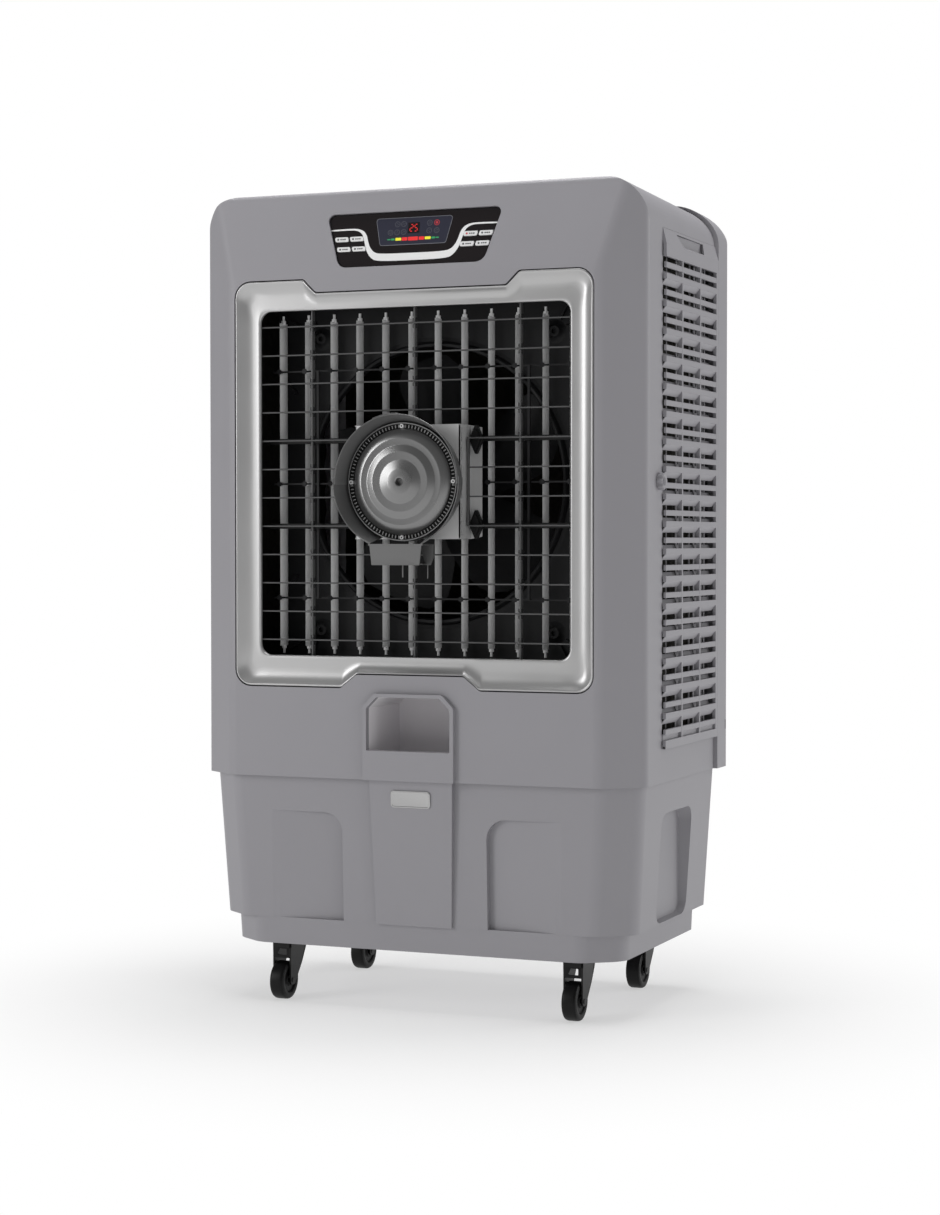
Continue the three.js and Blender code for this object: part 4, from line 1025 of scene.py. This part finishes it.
piece("drain_plug_cap", drain_plug(), "drain_plug", BLACK, ["drain_plug"], bevel=0.4)


# ---------------------------------------------------------------- louvre panels
ROWS, PERIOD, FIRST = 18, 45.5, 466
# heights in one period: the flush slat, the turned-in shade's lower edge, and the top of the opening
SLAT_LOW, SLAT_HIGH, SHADE, OPEN = 9, 18.2, 27.2, 35.6


def openings(bottoms):
    """The heights where the openings above each of the bottoms begin and end; the top one is lower."""
    return [z for b in bottoms for z in (b, b + (SHADE if b == bottoms[-1] else OPEN))]


def louvres(spans, bottoms, place, fins=True):
    """The turned-in shade, the flush slat and the slanted back slat of each opening, with fins or without.

    place puts (depth inward from the skin, along the row, z) in the row frame.
    """
    shade = [(0.9, OPEN + 0.5), (2.6, OPEN + 0.5), (9.4, SHADE + 0.6), (9.4, SHADE - 0.8), (8.0, SHADE - 0.8)]
    flush = [(0.3, SLAT_LOW + 0.6), (0.9, SLAT_LOW), (4.6, SLAT_LOW), (4.6, SLAT_HIGH), (0.9, SLAT_HIGH),
             (0.3, SLAT_HIGH - 0.6)]
    behind = [(9.6, -5), (11.2, -5.6), (15.6, 5.4), (14.2, 6.0)]
    # a fin square to the skin carries the end of the shade
    fin = [(0.6, OPEN), (0.6, SLAT_HIGH - 0.5), (9.6, SLAT_HIGH - 0.5), (9.6, SHADE)]
    parts = []

    def slat(section, z0, a, b):
        parts.append(loft([[place(d, p, z0 + z) for d, z in section] for p in (a, b)]))

    for z0 in bottoms:
        top = z0 == bottoms[-1]
        for k, (a, b) in enumerate(spans):
            for section in (flush, behind) if top else (shade, flush, behind):
                slat(section, z0, a - 0.2, b + 0.2)
            if fins and not top and k < 2:
                slat(fin, z0, b - 0.1, b + 2.2)
    return join(*parts)


def side_panel(s):
    """A louvred sheet in front of slats and bars, with a finger grip in its sloping cap."""
    skin, thin, near, far = HALF + PROUD, 6, -89, SEAM - 0.4
    ys = [near, -2, 4, 100, 106, 197, far]
    bottoms = [FIRST + PERIOD * i for i in range(ROWS)]
    zs = [452] + openings(bottoms) + [1288]
    sheet = lattice(ys, zs, lambda i, j: i % 2 == 0 and j % 2 == 1, skin - thin, skin)
    # the first column runs out through the front edge, so a stile stands behind it
    stile = box(391, near, 452, skin - 7.8, near + 3.5, 1288)
    rear_stile = box(391, far - 4, 452, skin - 1, far, 1288)
    sill = box(391, near, 452, skin - 1, far, 456)
    cap_edge = [(skin, 1287.9), (HALF + 0.5, 1314), (HALF - 5.5, 1314), (skin - thin, 1287.9)]
    cap = prism("y", cap_edge, near, far)
    grip_edge = [(-20, 1309), (130, 1309), (124, 1290, 5), (10, 1290, 12)]
    grip = prism("x", outline(grip_edge, 6), HALF - 2.4, skin + 10)
    boss = prism("x", [(-26, 1313), (136, 1313), (136, 1284), (4, 1284), (-26, 1300)], 391, HALF - 2)
    cap = boolean(boolean(cap, [grip]), [ahead_of_seam(-0.4)], "INTERSECT")
    collar_edge = [(-23, 1311.5), (133, 1311.5), (127, 1287, 7), (8, 1287, 14)]
    collar = boolean(prism("x", outline(collar_edge, 6), HALF - 5, skin + 10), [grip])
    slope = [(skin + 0.1, 1280), (skin + 0.1, 1288), (HALF + 0.6, 1314), (385, 1314), (385, 1280)]
    collar = boolean(collar, [prism("y", slope, -120, 220)], "INTERSECT")
    slats = louvres([(near + 0.4, -2), (4, 100), (106, 197)], bottoms, lambda d, p, z: (skin - d, p, z))
    blank = box(skin - 8, near + 1, FIRST - 1, skin - 5, far - 2, FIRST + SLAT_LOW + 1)
    # upright bars stand between the slats and the pad
    places = ((-40, 3), (12, 8), (27, 3), (46, 5), (88, 6), (112, 9), (129, 3), (144, 10), (163, 3), (175, 6))
    bars = [box(391.2, y, 456, 393, y + w, 1286) for y, w in places]
    shape = join(sheet, stile, rear_stile, sill, cap, boss, collar, slats, blank, *bars)
    return flipped(shape, s)


def paper(us, vs, place, depth=5):
    """A face of corrugated paper: slanting flutes that cross each other layer by layer."""
    verts, faces = [], []
    nu, nv = len(us), len(vs)
    for side in (0, 1):
        for u in us:
            for v in vs:
                wave = abs(((u + 0.55 * v) / 15) % 2 - 1) * 0.62 + abs(((u - 0.8 * v) / 21) % 2 - 1) * 0.38
                verts.append(place(u, v, side, depth * wave))
    at = lambda side, i, j: side * nu * nv + i * nv + j
    for i in range(nu - 1):
        for j in range(nv - 1):
            for side in (0, 1):
                faces.append((at(side, i, j), at(side, i + 1, j), at(side, i + 1, j + 1), at(side, i, j + 1)))
    edge = border(nu, nv)
    for k, (i, j) in enumerate(edge):
        p, q = edge[(k + 1) % len(edge)]
        faces.append((at(0, i, j), at(0, p, q), at(1, p, q), at(1, i, j)))
    return verts, faces


def steps(a, b, pitch):
    n = max(1, round((b - a) / pitch))
    return [a + (b - a) * k / n for k in range(n + 1)]


for side, s in SIDES:
    body = "side_panel_" + side
    piece(body + "_grille", side_panel(s), body, GREY, [body], bevel=0.5, angle=30)
    pad = paper(steps(-78, 205, 5), steps(*PAD_Z, 8),
                lambda u, v, far, w: (s * (384 - w if far else 352 + w), u, v))
    piece("pad_" + side, pad, "cabinet", PAPER, ["cooling_pad_" + side], angle=20)

pad = paper(steps(-326, 326, 6), steps(*PAD_Z, 9), lambda u, v, far, w: (u, 263 - w if far else 231 + w, v))
piece("pad_rear", pad, "cabinet", PAPER, ["cooling_pad_rear"], angle=20)


def rear_panel():
    """A sheet with five columns of openings, its slats half as deep as the side panels'."""
    spans = [(-310, -191), (-183, -64), (-56, 56), (64, 183), (191, 310)]
    bottoms = [FIRST + PERIOD * i + 12 for i in range(ROWS)]
    xs = [-329] + [x for span in spans for x in span] + [329]
    zs = [471] + openings(bottoms) + [1289]
    sheet = lattice(xs, zs, lambda i, j: i % 2 == 1 and j % 2 == 1, 267, 271.5, "y")
    sheet = boolean(sheet, [prism("y", rect(-329, 471, 329, 1289, 13), 260, 280)], "INTERSECT")

    def place(d, p, z):
        return p, 271.5 - 0.45 * d, z

    return join(sheet, louvres(spans, bottoms, place, fins=False))


piece("rear_panel_grille", rear_panel(), "rear_panel", GREY, ["rear_panel"], bevel=0.5,
      angle=30)


# ---------------------------------------------------------------- thumb knobs
def knob():
    """A scalloped head with a slot for a thumb, its shaft and the cam behind the panel wall."""
    def ring(r, wave, x):
        points = []
        for k in range(96):
            a = 2 * math.pi * k / 96
            reach = r - wave * (0.5 - 0.5 * math.cos(8 * a))
            points.append((x, KNOB_Y + reach * math.cos(a), AXIS_Z + reach * math.sin(a)))
        return points

    head = loft([ring(14.2, 2.6, HALF + 0.4), ring(14.5, 2.8, HALF + 1.2), ring(14.5, 2.8, HALF + 8.4),
                 ring(13.4, 2.2, HALF + 10.4), ring(12.4, 1.4, HALF + 11), ring(7.4, 0, HALF + 10.2),
                 ring(6.6, 0, HALF + 8.8)])
    shaft = rod("x", 4, 389, HALF + 1, (0, KNOB_Y, AXIS_Z), 20)
    cam = box(386, KNOB_Y - 5, AXIS_Z - 9, 389.5, KNOB_Y + 5, AXIS_Z + 9)
    bar = prism("x", rect(KNOB_Y - 1.6, AXIS_Z - 6, KNOB_Y + 1.6, AXIS_Z + 6, 1), HALF + 8, HALF + 10.6)
    return join(head, shaft, cam, bar)


for side, s in SIDES:
    piece("knob_" + side, flipped(knob(), s), "knob_" + side, GREY, ["panel_knob_" + side],
          angle=40)


# ---------------------------------------------------------------- water side
# the fill chute's finish is paler than its own grey: painted light
for node, look, soft, rounds in (
        ("fill_chute", CHUTE_PAINTED_LIGHT, 0.6, 2), ("water_channel", GREY_DARK, 0.6, 2), ("water_pump", BLACK, 0.9, 3),
        ("riser_hose", HOSE, 0.3, 2), ("float_valve", BLACK, 0.6, 2), ("float_arm", FOAM, 0.4, 2),
        ("cord_gland", BLACK, 0.5, 2)):
    carry(node, look, soft, rounds)


# ---------------------------------------------------------------- casters
def caster_fork(at):
    """Two legs under a crown, with a web behind, a swivel collar and stem, and the wheel's axle."""
    half, back = 14.2, -TRAIL - 8
    leg = outline([(back, 25, 7), (-TRAIL + 8, 25, 7), (14, 60, 14), (30, 86, 8), (30, 98), (back, 98)], 5)
    legs = [prism("x", leg, s * (half + 1.5) - 1.5, s * (half + 1.5) + 1.5) for s in (-1, 1)]
    crown = box(-half - 3, back, 90, half + 3, 30, 98)
    window = outline([(-9, 77, 1.5), (9, 77, 1.5), (9, 88, 1.5), (-4, 88, 1.5)], 3)
    web = boolean(box(-half - 3, back, 72, half + 3, back + 3, 98), [prism("y", window, back - 4, -TRAIL)])
    swivel = [(0, 97), (17, 97), (17.6, 98), (17.6, 100), (16.6, 101), (8, 101), (5, 101), (5, 118), (0, 118)]
    collar = turned("z", swivel, (0, 0, 0), 32)
    bolt = [(3.5, half + 2.6), (4.6, half + 2.6), (4.6, half + 3.4), (3.4, half + 4.2), (0, half + 4.2)]
    bolt = [(r, -x) for r, x in reversed(bolt)] + bolt
    return moved(join(*legs, crown, web, collar, turned("x", bolt, (0, -TRAIL, WHEEL_RADIUS), 24)), at)


def caster_wheel(at):
    h = 13
    profile = [(4, -h + 2.4), (9, -h + 0.6), (10, -h + 0.4), (11.5, -h + 2.6), (20, -h + 3.4),
               (21.5, -h + 0.8), (23, -h), (28.6, -h), (31.4, -h + 1.2), (32.7, -h + 3.4),
               (WHEEL_RADIUS, -h + 6)]
    profile += [(a, -b) for a, b in reversed(profile)]
    return moved(turned("x", profile, (0, 0, 0), 56), at)


for end, y in CASTER_YS:
    for side, s in SIDES:
        place, x = end + "_" + side, s * CASTER_X
        piece("fork_" + place, caster_fork((x, y + TRAIL, 0)), "caster_" + place, CASTER,
              ["caster_fork_" + place], bevel=0.7, segments=3)
        piece("wheel_" + place, caster_wheel((x, y, WHEEL_RADIUS)), "wheel_" + place, TREAD,
              ["caster_wheel_" + place], angle=34)


# ---------------------------------------------------------------- studio
def stage_sheet(name, points, look):
    mesh = bpy.data.meshes.new(name)
    mesh.from_pydata(points, [], [tuple(range(len(points)))])
    obj = bpy.data.objects.new(name, mesh)
    bpy.context.scene.collection.objects.link(obj)
    obj.data.materials.append(look)
    return obj


def floor_finish():
    """Pale and plain, going over to pure white away from the object."""
    mat = finish("studio_floor", (0.90, 0.90, 0.90), 0.6, grain=40, bump=0.02, mottle=0.005)
    tree = mat.node_tree
    length = add_node(tree, "VectorMath", {"operation": "LENGTH"})
    tree.links.new(add_node(tree, "TexCoord").outputs["Object"], length.inputs[0])
    fade = add_node(tree, "MapRange", {"interpolation_type": "SMOOTHSTEP"}, From_Min=0.40, From_Max=1.1,
                    To_Min=0.5, Value=length.outputs["Value"])
    white = add_node(tree, "Emission", Strength=1.0)
    both = mix_shader(tree, fade.outputs["Result"], tree.nodes["Principled BSDF"].outputs["BSDF"],
                      white.outputs["Emission"])
    tree.links.new(both, tree.nodes["Material Output"].inputs["Surface"])
    return mat


stage_sheet("studio_floor", [(-14, -14, 0), (14, -14, 0), (14, 14, 0), (-14, 14, 0)], floor_finish())


middle = Vector((0, 0, 0.75))
for name, place, wide, high, watts in (
        ("key", (-3.4, -3.6, 1.9), 1.6, 2.4, 74), ("side", (3.2, 2.5, 1.4), 1.4, 2.4, 32),
        ("strip", (3.8, -1.4, 1.3), 0.4, 2.6, 9), ("top", (0.1, 0.2, 4.2), 2.4, 2.4, 130)):
    lamp = bpy.data.lights.new(name, "AREA")
    lamp.shape, lamp.size, lamp.size_y, lamp.energy = "RECTANGLE", wide, high, watts
    obj = bpy.data.objects.new(name, lamp)
    bpy.context.scene.collection.objects.link(obj)
    obj.location = place
    obj.rotation_euler = (middle - Vector(place)).to_track_quat("-Z", "Y").to_euler()

world = bpy.data.worlds.new("studio")
bpy.context.scene.world = world
world.use_nodes = True
tree = world.node_tree
backdrop = tree.nodes["Background"]
backdrop.inputs["Color"].default_value = (1, 1, 1, 1)
backdrop.inputs["Strength"].default_value = 0.23
# the camera sees pure white, and everything else a dimmer sky
seen = add_node(tree, "Background", Color=(1, 1, 1, 1), Strength=1.0)
rays = add_node(tree, "LightPath")
both = mix_shader(tree, rays.outputs["Is Camera Ray"], backdrop.outputs["Background"],
                  seen.outputs["Background"])
tree.links.new(both, tree.nodes["World Output"].inputs["Surface"])
bpy.context.scene.view_settings.view_transform = "Standard"

# ---------------------------------------------------------------- camera
camera = bpy.data.objects.new("camera", bpy.data.cameras.new("camera"))
bpy.context.scene.collection.objects.link(camera)
camera.data.lens, camera.data.sensor_width = 73.88, 36
camera.location = (1.6710, -4.0262, 0.7985)
yaw, pitch = math.radians(22.27), math.radians(1.55)
forward = Vector((-math.sin(yaw) * math.cos(pitch), math.cos(yaw) * math.cos(pitch), -math.sin(pitch)))
camera.rotation_euler = forward.to_track_quat("-Z", "Y").to_euler()
bpy.context.scene.camera = camera

bpy.context.view_layer.update()
